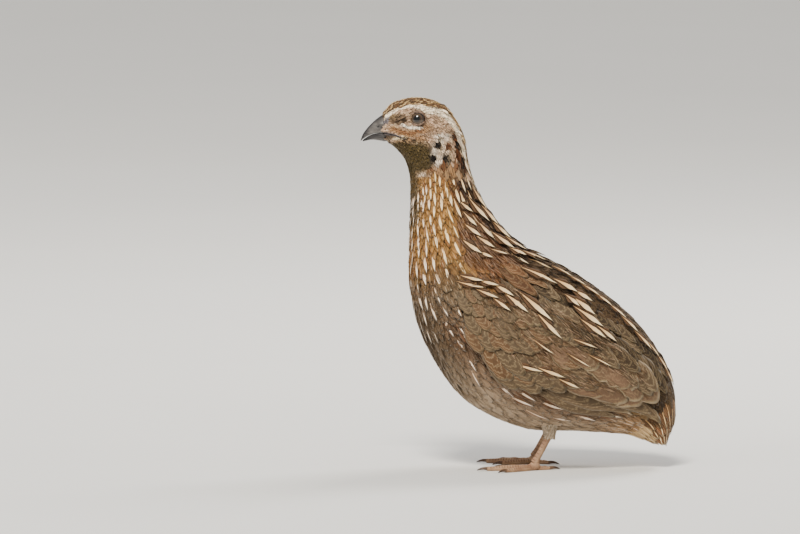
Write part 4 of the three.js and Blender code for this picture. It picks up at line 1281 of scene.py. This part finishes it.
def over_wing(t, a):
    """Where the coverts and the shoulder feathers lie, short of the long quills' tips."""
    share = share_at(a)
    return (share > 0.06) & (wing_cover(t, share) > 0.6) & (t < 11.3)


def wing_browns(tract):
    """Browns and a little buff, redder toward the neck."""
    brown = mixed(mixed(GREY_BROWN, UMBER, 0.8 * tract.chance), TAWNY, 0.25)
    brown = mixed(brown, PINKISH, 0.5 * (tract.chance > 0.7))
    return mixed(brown, RUFOUS, 0.5 - 0.5 * ease(tract.root_t, 7.0, 7.9))


coat("coat_barbs_wings", [loose_barbs(7.1, 11.3, 3800, over_wing, coat_top, wing_browns)], BODY_FEATHERS)
for name, side in (("left", 1), ("right", -1)):
    coat("coat_wing_" + name, wing(side), QUILLS)
    coat("coat_streaks_" + name, [dashes(side)], QUILLS)

# %% [markdown]
# ## Tail and thighs
# The tail is so short that the rump's feathers nearly hide it, and it hangs. Its quills lie in a steep
# roof under two rows of coverts. The thighs are small and covered in fine feathers.

# %% The tail
# name: count a side, station, first and last angle, how far the tips stop before the tail's end, width,
# height of the roots and of the tips
TAIL_TIERS = {
    "quills": (6, 12.5, 0.12, 1.7, -1.9, 5.2, -0.9, 0.1),
    "long coverts": (6, 12.1, 0.15, 1.8, 1.4, 4.6, -0.8, 0.35),
    "short coverts": (7, 11.85, 0.1, 1.75, 4.8, 4.8, -0.9, 0.55),
    "under coverts": (6, 12.2, 1.9, 3.0, -0.4, 4.2, -0.8, 0.1),
    "vent coverts": (6, 11.8, 1.95, 3.0, 3.5, 4.2, -0.9, 0.25),
}


def to_tail_end(station, a):
    """Length of the surface from a station to the tail's end, at each angle."""
    t = np.linspace(station, LAST_STATION, 60)[:, None]
    line = plumage(*np.broadcast_arrays(t, a))
    return np.linalg.norm(np.diff(line, axis=0), axis=-1).sum(axis=0)


TAIL_ROUNDING, TAIL_SPREAD = 1.8, 1.8  # how much shorter the outermost are, and their angle
tail = []
for kind, (count, station, first, last, stop, width, low, high) in TAIL_TIERS.items():
    for side in (1, -1):
        a = side * np.linspace(first, last, count)
        t = station + draw.normal(0, 0.05, count)
        rounding = TAIL_ROUNDING * (np.minimum(np.abs(a), TAIL_SPREAD) / TAIL_SPREAD) ** 2
        lengths = to_tail_end(station, a) - stop - rounding + draw.normal(0, 0.25, count)
        tract = Tract(plumage, t, a, lengths, width, 0.0, low, high,
                      point=0.3, blunt=0.45, rows=11, cols=7, roll=ROLL * side * 0.6)
        plan = (0.1, 0.7, 0.5, 0.3) if kind == "quills" else (0.12, 0.5, 0.45, 0.4)
        ground = mixed(UMBER, RUFOUS, 0.3 + 0.5 * tract.chance)
        if kind in ("under coverts", "vent coverts"):
            ground = mixed(mixed(STRAW, PINKISH, 0.5), BUFF, tract.chance)
            plan = (0.1, 0.1, 0.4, 0.1)
        tail.append(tract.dressed((ground, mixed(BUFF, CREAM, tract.chance), plan)))
coat("coat_tail", tail, QUILLS)


# %% The thighs' feathers
def right_thigh(t, a):
    """The left thigh seen in a mirror."""
    return thigh(t, -np.asarray(a)) * (-1, 1, 1)


thigh_tracts = []
for surface in (thigh, right_thigh):
    rings = [(u, k, 20 - int(9 * u)) for k, u in enumerate(np.linspace(0.0, 0.86, 15))]
    t = np.concatenate([np.full(count, u) for u, _, count in rings])
    a = np.concatenate([(np.arange(count) + 0.5 * (k % 2)) / count * 2 * np.pi for _, k, count in rings])
    length = 5.2 - 2.4 * t
    tract = Tract(surface, t + draw.normal(0, 0.01, len(t)), a, length, length * 0.5,
                  np.radians(draw.normal(0, 5, len(t))), -0.35, 0.15, rows=6, cols=4)
    ground = mixed(mixed(BUFF, WHITE, 0.45), GREY_BROWN, 0.3 + 0.5 * tract.chance)
    thigh_tracts.append(tract.dressed((ground, WHITE, (0.08, 0.1, 0.3, 0.1))))
coat("coat_thighs", thigh_tracts, BODY_FEATHERS)

# %% [markdown]
# ## Swept limbs
# Toes, shanks, claws and lips are all tubes along a bent line. The line is a smooth curve through a few
# joints. Round it the radius can vary with the angle too, which gives scutes on top and pads below.

# %% Tubes along a line
def smooth_path(joints, count):
    """A Catmull-Rom curve through the joints, at evenly spaced numbers."""
    joints = np.asarray(joints, float)
    return along(joints, np.linspace(0, len(joints) - 1, count))


def swept(path, radius, cols, up=(0, 0, 1), flat=1.0):
    """Rings across a path: side times cos, up times sin; radius has a value for each ring or point."""
    way = unit(np.gradient(path, axis=0))
    side = unit(np.cross(way, np.asarray(up, float)))
    over = np.cross(side, way)
    turn = round_steps(cols)
    radius = np.asarray(radius, float)
    radius = radius[:, None] if radius.ndim == 1 else radius
    ring = side[:, None] * np.cos(turn)[:, None] + over[:, None] * np.sin(turn)[:, None] * flat
    return path[:, None] + ring * radius[..., None]


def saw(v, count, bite=0.75):
    """Rises slowly and falls fast, count times along v, as the edges of overlapping scutes do."""
    part = (v * count) % 1.0
    return np.where(part < bite, part / bite, (1 - part) / (1 - bite))


# %% [markdown]
# ## The bill
# The bill is a short, stout seed-eater's bill: a curved upper half with a ridge and a slightly hooked
# tip over a flatter lower half. The nostril is a slit under a swollen flap near the root. Both halves
# are lofted from sections, and the flap and the slit are pushed out of and into the surface.

# %% The bill's sections
BILL_BACK = 2.2  # how far the horn runs back under the first feathers
# Columns: ridge y, ridge z, edge y, edge z, half width.
UPPER_BILL = np.array([(-52.3, 136.7, -52.3, 129.6, 3.4), (-55.0, 134.8, -54.5, 129.5, 2.95),
                       (-56.9, 133.1, -56.5, 129.1, 2.45), (-58.8, 131.1, -58.6, 128.2, 1.85),
                       (-60.4, 128.9, -60.3, 127.1, 1.15), (-61.35, 126.6, -61.3, 126.1, 0.4)])
LOWER_BILL = np.array([(-52.3, 129.15, -52.3, 125.95, 3.0), (-54.6, 129.05, -54.5, 126.35, 2.6),
                       (-57.2, 128.45, -57.1, 126.6, 1.9), (-59.5, 127.2, -59.4, 126.2, 1.0),
                       (-60.6, 126.35, -60.5, 125.95, 0.4)])
HALF_SECTION = np.array([(0.0, 1.0), (0.24, 0.93), (0.45, 0.7), (0.66, 0.44), (0.83, 0.12),
                         (0.97, -0.4), (0.99, -0.82), (0.9, -1.0), (0.5, -1.0), (0.0, -1.0)])
NOSTRIL_AT = (-54.0 + TO_ORIGIN, 131.8)
FLAP_RISE, SLIT_DEPTH = 0.38, 0.5


def bill_half(rows, ridge, count=90, cols=44):
    """Half sections between ridge and cutting edge, mirrored; ridge is 1 above and -1 below."""
    t = np.linspace(0, len(rows) - 1, count)
    top_y, top_z, low_y, low_z, half = along(rows, t).T[..., None]
    q = np.linspace(0, len(HALF_SECTION) - 1, cols // 2 + 1)
    x, h = along(HALF_SECTION, q).T
    x, h = np.concatenate([x, -x[-2:0:-1]]), np.concatenate([h, h[-2:0:-1]]) * ridge
    y = (top_y + low_y) / 2 + (top_y - low_y) / 2 * h + TO_ORIGIN
    z = (top_z + low_z) / 2 + (top_z - low_z) / 2 * h
    rings = np.stack([half * x, y, z], -1)
    back = rings[:1] + (0, BILL_BACK, 0)
    back = (back - back.mean(axis=1, keepdims=True)) * 0.86 + back.mean(axis=1, keepdims=True)
    return np.concatenate([back, rings])


def with_nostrils(rings):
    """Pushes the flap out and the slit in, on both sides."""
    x, y, z = np.moveaxis(rings, -1, 0)
    along_y = (y - NOSTRIL_AT[0]) / 1.7
    flap = np.exp(-along_y ** 2 - ((z - NOSTRIL_AT[1] - 1.15) / 0.95) ** 2)
    slit = np.exp(-(along_y * 1.25) ** 4 - ((z - NOSTRIL_AT[1] + 0.12 * along_y) / 0.3) ** 2)
    push = (FLAP_RISE * flap - SLIT_DEPTH * slit) * np.clip(np.abs(x) / 1.5, 0, 1)
    return np.stack([x + np.sign(x) * push, y, z], -1), slit


# %% The horn
def horn_finish(name, root, side, dark, rough_from):
    """Horn: light at the root and the sides, dark on the ridge and the tip, with fine growth lines."""
    f = Finish(name)
    shade = f.attribute("shade", 2)
    place = f.node("ShaderNodeMapping", {"vector_type": "POINT"},
                   {0: f.node("ShaderNodeTexCoord", output=3), 3: (900.0, 260.0, 1500.0)})
    lines = f.noise(1.0, 4.0, place)
    blotch = f.noise(420.0, 3.0)
    colour = f.mix(blotch.ease(0.35, 0.7), side, root)
    tone = shade + (lines - 0.5) * 0.9 + (blotch - 0.5) * 0.7
    colour = f.mix(tone.clamped(), colour, dark)
    return f.surface(colour, rough_from + lines * 0.15, f.bump(lines, 0.35, 0.00012), Coat_Weight=0.15)


BILL_HORN = horn_finish("bill horn", paint("#8b857f"), paint("#65605c"), paint("#232124"), 0.32)
upper, slit = with_nostrils(bill_half(UPPER_BILL, 1))
lower = bill_half(LOWER_BILL, -1)


def bill_shade(rings, ridge):
    """0 at the pale sides near the root, 1 on ridge, tip and slit; lighter along the upper half's cutting
    edge as a painted highlight, and darker along the lower half's edge and over all the lower half as painted
    shade under the upper one.
    """
    x, y, z = np.moveaxis(rings, -1, 0)
    half = np.maximum(np.abs(x).max(axis=1, keepdims=True), 0.2)
    on_ridge = (1 - ease(np.abs(x) / half, 0.1, 0.75)) * (ridge > 0)
    tip = 1 - ease(y, -61.4 + TO_ORIGIN, -56.5 + TO_ORIGIN)
    edge = 1 - ease(np.abs(z - 129.0 - 0.35 * (y + 53.0)), 0.2, 1.2)
    low = 1.0 if ridge < 0 else 0.0
    # The edge term is a painted highlight on the upper half and painted shade on the lower half; the lower
    # half's own term is painted shade under the upper half.
    return np.clip(0.3 + 0.7 * on_ridge + 0.6 * tip + (0.5 * low - 0.25) * edge + 0.3 * low, 0, 1)


# The nostril's slit is added to the upper half's darkness: painted shade in the hole.
for name, rings, shade in (("bill_upper", upper, bill_shade(upper, 1) + slit),
                           ("bill_lower", lower, bill_shade(lower, -1))):
    shade = with_poles(shade, *shade[[0, -1]].mean(axis=1))
    piece(name + "_horn", closed_tube(rings), BILL_HORN, "bill", (name,), shade=shade)

# %% [markdown]
# The mouth runs on behind the horn as a bare line with two narrow lips, which ends in a small fold under
# the eye's front. Three thin tubes on the face's surface make it: a near-black one between two pale ones,
# which is painted shade in the closed mouth's slit.

# %% Lips and the line of the mouth
def on_face(places, height):
    """Points on the head's left side under side-view places, raised by a height."""
    t, a = on_side(np.asarray(places, float))
    return raised(plumage, t, a, np.broadcast_to(height, t.shape))


LIP_RINGS = 60
mouth = smooth_path(MOUTH_LINE, LIP_RINGS)
lip_v = np.linspace(0, 1, LIP_RINGS)
mouth_parts, mouth_shade = [], []
# Each line: its distance above the mouth, its half thickness, its lift, its darkness, and how it tapers.
for offset, radius, height, tone, slim in ((0.32, 0.26, -0.1, 0.35, 1.2), (-0.5, 0.46, -0.14, 0.55, 1.0),
                                           # The last line is painted shade: a near-black tube in the slit
                                           # between the lips.
                                           (0.0, 0.19, 0.05, 1.0, 3.0)):
    taper = 1 - 0.85 * lip_v ** slim
    path = on_face(mouth + np.stack([0 * taper, offset * taper], -1), height)
    part = closed_tube(swept(path, radius * taper, 12, up=(1, 0, 0.2)))
    mouth_parts += [part, mirrored(part)]
    mouth_shade += [np.full(2 * len(part[0]), tone)]
LIPS = horn_finish("lips", paint("#8b7f7a"), paint("#766b69"), paint("#17110f"), 0.5)
piece("lips", joined(mouth_parts), LIPS, "bill", shade=np.concatenate(mouth_shade))

# %% [markdown]
# ## Eyes and lids
# The eye is a ball of about six millimetres, most of it hidden. Its clear front bulges a little, the
# iris is brown and darker at both rims, and the pupil is wide. The lids are a bare grey ring with fine
# wrinkles, pointed in front and behind.

# %% The eyeball
EYE_HALF, CORNEA_RISE = 3.06, 0.16
GAZE = unit(np.array([0.97, -0.12, 0.17]))
PUPIL, IRIS = 0.36, 0.84  # angles from the line of sight


def eyeball(rows=72, cols=72):
    """A ball with its pole on the line of sight, and a low bulge over the iris."""
    off = np.linspace(0.004, np.pi - 0.004, rows)[:, None]
    turn = round_steps(cols)[None]
    side = unit(np.cross(GAZE, (0, 0, 1)))
    over = np.cross(side, GAZE)
    reach = EYE_HALF + CORNEA_RISE * (1 - ease(off, 0.35, 0.95))
    ring = side * np.cos(turn)[..., None] + over * np.sin(turn)[..., None]
    rings = EYE + reach[..., None] * (GAZE * np.cos(off)[..., None] + ring * np.sin(off)[..., None])
    return rings, np.broadcast_to(off, (rows, cols)), np.broadcast_to(turn, (rows, cols))


def eye_finish():
    """Pupil, iris and rim by the angle from the line of sight, with rays round the pupil."""
    f = Finish("eye")
    off = f.attribute("off", 2)
    ray_x, ray_y = f.attribute("ray_x", 2), f.attribute("ray_y", 2)
    place = f.node("ShaderNodeCombineXYZ", inputs={0: ray_x * 14.0, 1: ray_y * 14.0, 2: off * 4.0})
    rays = f.noise(1.0, 3.0, place)
    iris = f.mix(off.ease(PUPIL, IRIS), paint("#35261a"), paint("#665035"))
    iris = f.mix(rays.ease(0.35, 0.75) * 0.6, iris, paint("#2c1d10"))
    iris = f.mix(off.ease(IRIS - 0.16, IRIS) * 0.9, iris, paint("#150c08"))
    colour = f.mix(off.ease(PUPIL + 0.03, PUPIL - 0.02), iris, paint("#030303"))
    return f.surface(colour, 0.08, None, Coat_Weight=1.0, Coat_Roughness=0.03, Specular_IOR_Level=0.6)


rings, off, turn = eyeball()
left_eye = closed_tube(rings)
eye_numbers = {"off": with_poles(off, 0.0, np.pi), "ray_x": with_poles(np.cos(turn)),
               "ray_y": with_poles(np.sin(turn))}
EYE_FINISH = eye_finish()
for side_name, eye in (("left", left_eye), ("right", mirrored(left_eye))):
    piece("eyeball_" + side_name, eye, EYE_FINISH, "eye", ("eye_" + side_name,), **eye_numbers)


# %% The lids
def lid_ring(cols=120, around=18):
    """A ring on the ball: an ellipse with two corners, thicker above than below."""
    side = unit(np.cross(EYE_WAY, (0, 0, 1)))
    over = np.cross(side, EYE_WAY)
    q = round_steps(cols)[:, None]
    corner = np.abs(np.cos(q)) ** 10
    reach = 2.55 + 0.12 * np.cos(q) ** 2 + 0.42 * corner
    thick = 0.44 + 0.1 * np.clip(np.sin(q), 0, 1) - 0.14 * corner
    p = round_steps(around)[None]
    wrinkle = 1 + 0.07 * np.sin(3 * p + 9 * q) + 0.04 * np.sin(23 * q)
    way = side * np.cos(q)[..., None] + over * np.sin(q)[..., None]
    sunk = np.sqrt(np.maximum(EYE_HALF ** 2 - np.minimum(reach, EYE_HALF - 0.1) ** 2, 0.0))
    centre = EYE + way * reach[..., None] + EYE_WAY * sunk[..., None]
    ring = way * np.cos(p)[..., None] + EYE_WAY * np.sin(p)[..., None]
    points = (centre + ring * (thick * wrinkle)[..., None]).reshape(-1, 3)
    return points, facing_out(points, grid_faces(cols, around, True, True))


def lid_finish():
    """Bare grey-brown skin in fine wrinkles."""
    f = Finish("lid skin")
    folds = f.noise(1500.0, 4.0)
    colour = f.mix(folds.ease(0.3, 0.7), paint("#56453a"), paint("#8f7765"))
    return f.surface(colour, 0.6, f.bump(folds, 0.6, 0.00012))


left_lid = lid_ring()
LIDS = lid_finish()
for side_name, lid in (("left", left_lid), ("right", mirrored(left_lid))):
    piece("lid_" + side_name, lid, LIDS, "eye")

# %% [markdown]
# ## Shanks, feet and claws
# A quail's legs are short and flesh-coloured. Two rows of shield-shaped scutes cover the front of each
# shank, and a row of narrow scutes lies over each toe, which has soft pads below. The blunt claws are
# horn, brown at the root and paler at the edge.

# %% Sizes of the legs
def furrow_shade_at(v, count, bite=0.75):
    """1 in the furrow behind each scute's edge, where the skin gets painted shade, 0 on the scute."""
    part = (v * count) % 1.0
    return ease(part, bite - 0.12, bite + 0.05) * (1 - ease(part, 0.93, 1.0))


FOOT = np.array([12.6, 5.6 + TO_ORIGIN, 2.2])
FOOT_PAD, FOOT_TURN = 2.0, 8.0
SHANK_HALF, SHANK_SCUTES = 1.22, 9
# name: length, heading in degrees, half thickness, scutes
TOES = {"middle": (18.5, 0.0, 1.2, 17), "inner": (13.5, 30.0, 1.1, 12),
        "outer": (14.5, -32.0, 1.1, 13), "hind": (6.5, 168.0, 0.9, 6)}
KNUCKLES = [1.2, 0.98, 1.1, 0.9, 1.0, 0.78, 0.68]
KNUCKLE_PARTS = np.array([0, 0.2, 0.34, 0.5, 0.66, 0.82, 1])
CLAW_LENGTH, CLAW_HALF, CLAW_DROP = 4.0, 0.62, 0.5
FRONT_TURN = np.pi / 2  # the angle of a shank's ring that faces forward
FLOOR_GAP = 0.02  # how far pads and toes stay above the floor


# %% Toes and pads
def toe_joints(length, heading, half):
    """Joints from the pad to the claw's root, a little above the floor."""
    turn = math.radians(heading - FOOT_TURN)
    out = KNUCKLE_PARTS * length
    lift = half * (0.8 - 0.15 * KNUCKLE_PARTS) + 0.5 * (KNUCKLE_PARTS == 0)
    return np.stack([FOOT[0] - math.sin(turn) * out, FOOT[1] - math.cos(turn) * out, lift], -1)


def toe(length, heading, half, scutes, rows=110, cols=28):
    """A tube with a scute's edge every so often on top and a pad at each joint below."""
    path = smooth_path(toe_joints(length, heading, half), rows)
    v = np.linspace(0, 1, rows)
    radius = along(np.array(KNUCKLES)[:, None], v * 6)[:, 0] * half
    turn = round_steps(cols)
    above = ease(np.sin(turn), 0.1, 0.5)
    pads = 0.05 * (1 + np.sin(v * 6 * 2 * np.pi))[:, None] * ease(-np.sin(turn), 0.0, 0.6)
    relief = 0.075 * saw(v, scutes)[:, None] * above - 0.03 * above + pads
    rings = swept(path, radius[:, None] * (1 + relief), cols)
    rings[..., 2] = np.maximum(rings[..., 2], FLOOR_GAP)
    return closed_tube(rings), with_poles(furrow_shade_at(v, scutes)[:, None] * above)


def foot():
    """The pad, a ball flattened by the floor, and the four toes."""
    off = np.linspace(0.05, np.pi - 0.05, 30)[:, None]
    turn = round_steps(36)[None]
    sizes = np.array([FOOT_PAD * 0.96, FOOT_PAD * 1.05, FOOT_PAD * 0.86])
    ball = np.stack([np.sin(off) * np.cos(turn), np.sin(off) * np.sin(turn), np.cos(off) + 0 * turn], -1)
    rings = FOOT * (1, 1, 0.8) + ball * sizes
    rings[..., 2] = np.maximum(rings[..., 2], FLOOR_GAP)
    toes = [toe(*numbers) for numbers in TOES.values()]
    shade = np.concatenate([with_poles(0.0 * rings[..., 0])] + [tone for _, tone in toes])
    return joined([closed_tube(rings)] + [part for part, _ in toes]), shade


# %% Shanks
def shank(rows=150, cols=40):
    """A tube from the thigh's feathers to the foot with two rows of scutes in front."""
    top = KNEE + (0, 0.3, 1.2)
    base = FOOT + (0, 0, FOOT_PAD * 0.35)
    path = smooth_path([top, top * 0.5 + base * 0.5 + (0, 0.05, 0), base], rows)
    v = np.linspace(0, 1, rows)[:, None]
    turn = round_steps(cols)[None]
    front = ease(np.cos(turn - FRONT_TURN), -0.1, 0.4)
    half_step = 0.5 * (np.sin(turn - FRONT_TURN) > 0)
    shield = saw(v + half_step / SHANK_SCUTES, SHANK_SCUTES, 0.8)
    seam = np.exp(-(np.sin(turn - FRONT_TURN) / 0.12) ** 2) * (np.cos(turn - FRONT_TURN) > 0)
    beads = 0.02 * np.sin(v * 130) * np.sin(turn * 14)
    relief = 0.10 * shield * front * (1 - seam) - 0.05 * seam + beads * (1 - front)
    ends = 1 + 0.35 * np.exp(-(v / 0.12) ** 2) + 0.3 * np.exp(-((v - 1.0) / 0.14) ** 2)
    furrow = furrow_shade_at(v + half_step / SHANK_SCUTES, SHANK_SCUTES, 0.8) * front
    shade = with_poles(np.maximum(furrow, 0.8 * seam))
    return closed_tube(swept(path, SHANK_HALF * 0.97 * ends * (1 + relief), cols, up=(0, -1, 0.3))), shade


# %% Claws
def claw(length, heading, half, _, rows=40, cols=20):
    """A bent cone, higher than wide, with a shallow groove below."""
    line = toe_joints(length, heading, half)
    way = unit((line[-1] - line[-2]) * (1, 1, 0))
    v = np.linspace(0, 1, rows)
    path = line[-1] + way * (v * (CLAW_LENGTH + 0.5) - 0.5)[:, None]
    path[:, 2] += 0.25 * np.sin(np.pi * v) - CLAW_DROP * v ** 2
    turn = round_steps(cols)[None]
    groove = 1 - 0.18 * np.exp(-((np.sin(turn) + 1) / 0.2) ** 2)
    radius = CLAW_HALF * (1 - v ** 1.6)[:, None] ** 0.7 * groove + 0.03
    rings = swept(path, radius, cols, flat=1.05)
    rings[..., 2] = np.maximum(rings[..., 2], 0.0)
    return closed_tube(rings), with_poles(np.repeat(v, cols), 0, 1)


# %% The legs put together
def leg_finish():
    """Flesh-coloured scaly skin: paler scutes with painted shade in the furrows behind their edges, and small
    beads between.
    """
    f = Finish("leg skin")
    beads = f.node("ShaderNodeTexVoronoi", {"feature": "DISTANCE_TO_EDGE"}, {"Scale": 1900.0})
    blotch = f.noise(330.0, 3.0)
    colour = f.mix(blotch.ease(0.3, 0.7), paint("#b08d72"), paint("#cbab8b"))
    colour = f.mix(beads.ease(0.14, 0.02) * 0.55, colour, paint("#7c5c48"))
    # Painted shade in the scutes' furrows and in the groove between the shank's two rows.
    colour = f.mix(f.attribute("shade", 2) * 0.75, colour, paint("#6b4a38"))
    height = beads.ease(0.0, 0.2) + blotch * 0.3
    return f.surface(colour, 0.48, f.bump(height, 0.5, 0.00014))


LEG_SKIN = leg_finish()
CLAW_HORN = horn_finish("claw horn", paint("#8a6d55"), paint("#5f4737"), paint("#2b201a"), 0.4)
for side_name, flip in (("left", False), ("right", True)):
    turned = mirrored if flip else (lambda part: part)
    part, shade = shank()
    piece("leg_" + side_name, turned(part), LEG_SKIN, "skin_of_leg", ("shank_" + side_name,), shade=shade)
    part, shade = foot()
    piece("toes_" + side_name, turned(part), LEG_SKIN, "skin_of_leg", ("foot_" + side_name,), shade=shade)
    for toe_name, numbers in TOES.items():
        part, shade = claw(*numbers)
        label = toe_name + "_" + side_name
        piece("nail_" + label, turned(part), CLAW_HORN, "claw", ("claw_" + label,), shade=shade)

# %% [markdown]
# ## The photographer's table
# The photograph looks at the bird's left side from a little above its feet, with a long lens. A plain
# pale floor that curves up behind it keeps the outline clear, and soft lamps show the feathers' edges. The
# floor reaches some metres to every side, so the bird can be looked at all round. The key lamp stands as
# far off, so the floor's light doesn't fade towards its edges.

# %% The floor
def floor_finish():
    """A pale matt floor with the faintest mottling."""
    f = Finish("studio floor")
    tone = f.noise(6.0, 3.0) * 0.03 + 0.72
    colour = f.node("ShaderNodeCombineColor", inputs={0: tone, 1: tone * 0.985, 2: tone * 0.95})
    return f.surface(colour, 0.8)


FLOOR_HALF, FLOOR_BEHIND, FLOOR_TOP = 7500.0, -6500.0, 2600.0
SWEEP = 500.0  # radius of the curve between floor and wall
across_y = np.linspace(-FLOOR_HALF, FLOOR_HALF, 9)
bends = np.linspace(0, np.pi / 2, 17)[1:]
profile = np.array([(FLOOR_HALF, 0.0), (FLOOR_BEHIND, 0.0)]
                   + [(FLOOR_BEHIND - SWEEP * math.sin(k), SWEEP - SWEEP * math.cos(k)) for k in bends]
                   + [(FLOOR_BEHIND - SWEEP, FLOOR_TOP)])
floor_points = np.stack(np.broadcast_arrays(profile[:, :1], across_y, profile[:, 1:]), -1).reshape(-1, 3)
floor_faces = grid_faces(len(profile), len(across_y), wrap_cols=False)
floor_mesh = bpy.data.meshes.new("floor")
floor_mesh.from_pydata((floor_points * MM).tolist(), [], floor_faces[:, ::-1].tolist())
floor_mesh.polygons.foreach_set("use_smooth", np.ones(len(floor_mesh.polygons), bool))
floor_mesh.materials.append(floor_finish())
floor = bpy.data.objects.new("floor", floor_mesh)
bpy.context.scene.collection.objects.link(floor)
print("floor:", len(floor_faces), "faces")


# %% Lamps
def lamp(name, place, aim, size, power, colour, mirrored_in_eyes):
    """A soft square lamp that looks at a point; only one of them may shine back from the eyes."""
    light = bpy.data.lights.new(name, "AREA")
    light.size, light.energy, light.color = size, power, colour
    ob = bpy.data.objects.new(name, light)
    ob.location = Vector(place)
    ob.rotation_mode = "QUATERNION"
    ob.rotation_quaternion = (Vector(aim) - Vector(place)).to_track_quat("-Z", "Y")
    ob.visible_glossy = mirrored_in_eyes
    bpy.context.scene.collection.objects.link(ob)


AIM = Vector((0.0, -0.0454, AIM_HEIGHT * MM))
lamp("key", (5.0, -1.0, 6.5), AIM, 2.0, 675.0, (1.0, 0.96, 0.88), True)
lamp("fill", (0.9, -1.2, 0.4), AIM, 0.9, 5.0, (0.93, 0.96, 1.0), False)
lamp("rim", (-0.7, 0.5, 0.9), AIM, 0.5, 9.0, (1.0, 0.98, 0.95), False)
bpy.context.scene.view_settings.look = "AgX - Medium High Contrast"

world = bpy.data.worlds.new("studio")
world.use_nodes = True
world.node_tree.nodes["Background"].inputs[0].default_value = (0.96, 0.97, 1.0, 1.0)
world.node_tree.nodes["Background"].inputs[1].default_value = 0.42
bpy.context.scene.world = world

# %% The camera
DISTANCE, LENS = 5.0, 584.0
camera = bpy.data.objects.new("camera", bpy.data.cameras.new("camera"))
camera.data.lens, camera.data.sensor_width = LENS, 36.0
camera.data.clip_start, camera.data.clip_end = 0.05, 50.0
camera.location = AIM + DISTANCE * Vector((math.cos(ELEVATION), 0.0, math.sin(ELEVATION)))
camera.rotation_mode = "QUATERNION"
camera.rotation_quaternion = (AIM - camera.location).to_track_quat("-Z", "Y")
bpy.context.scene.collection.objects.link(camera)
bpy.context.scene.camera = camera
print("camera:", [round(k, 3) for k in camera.location])
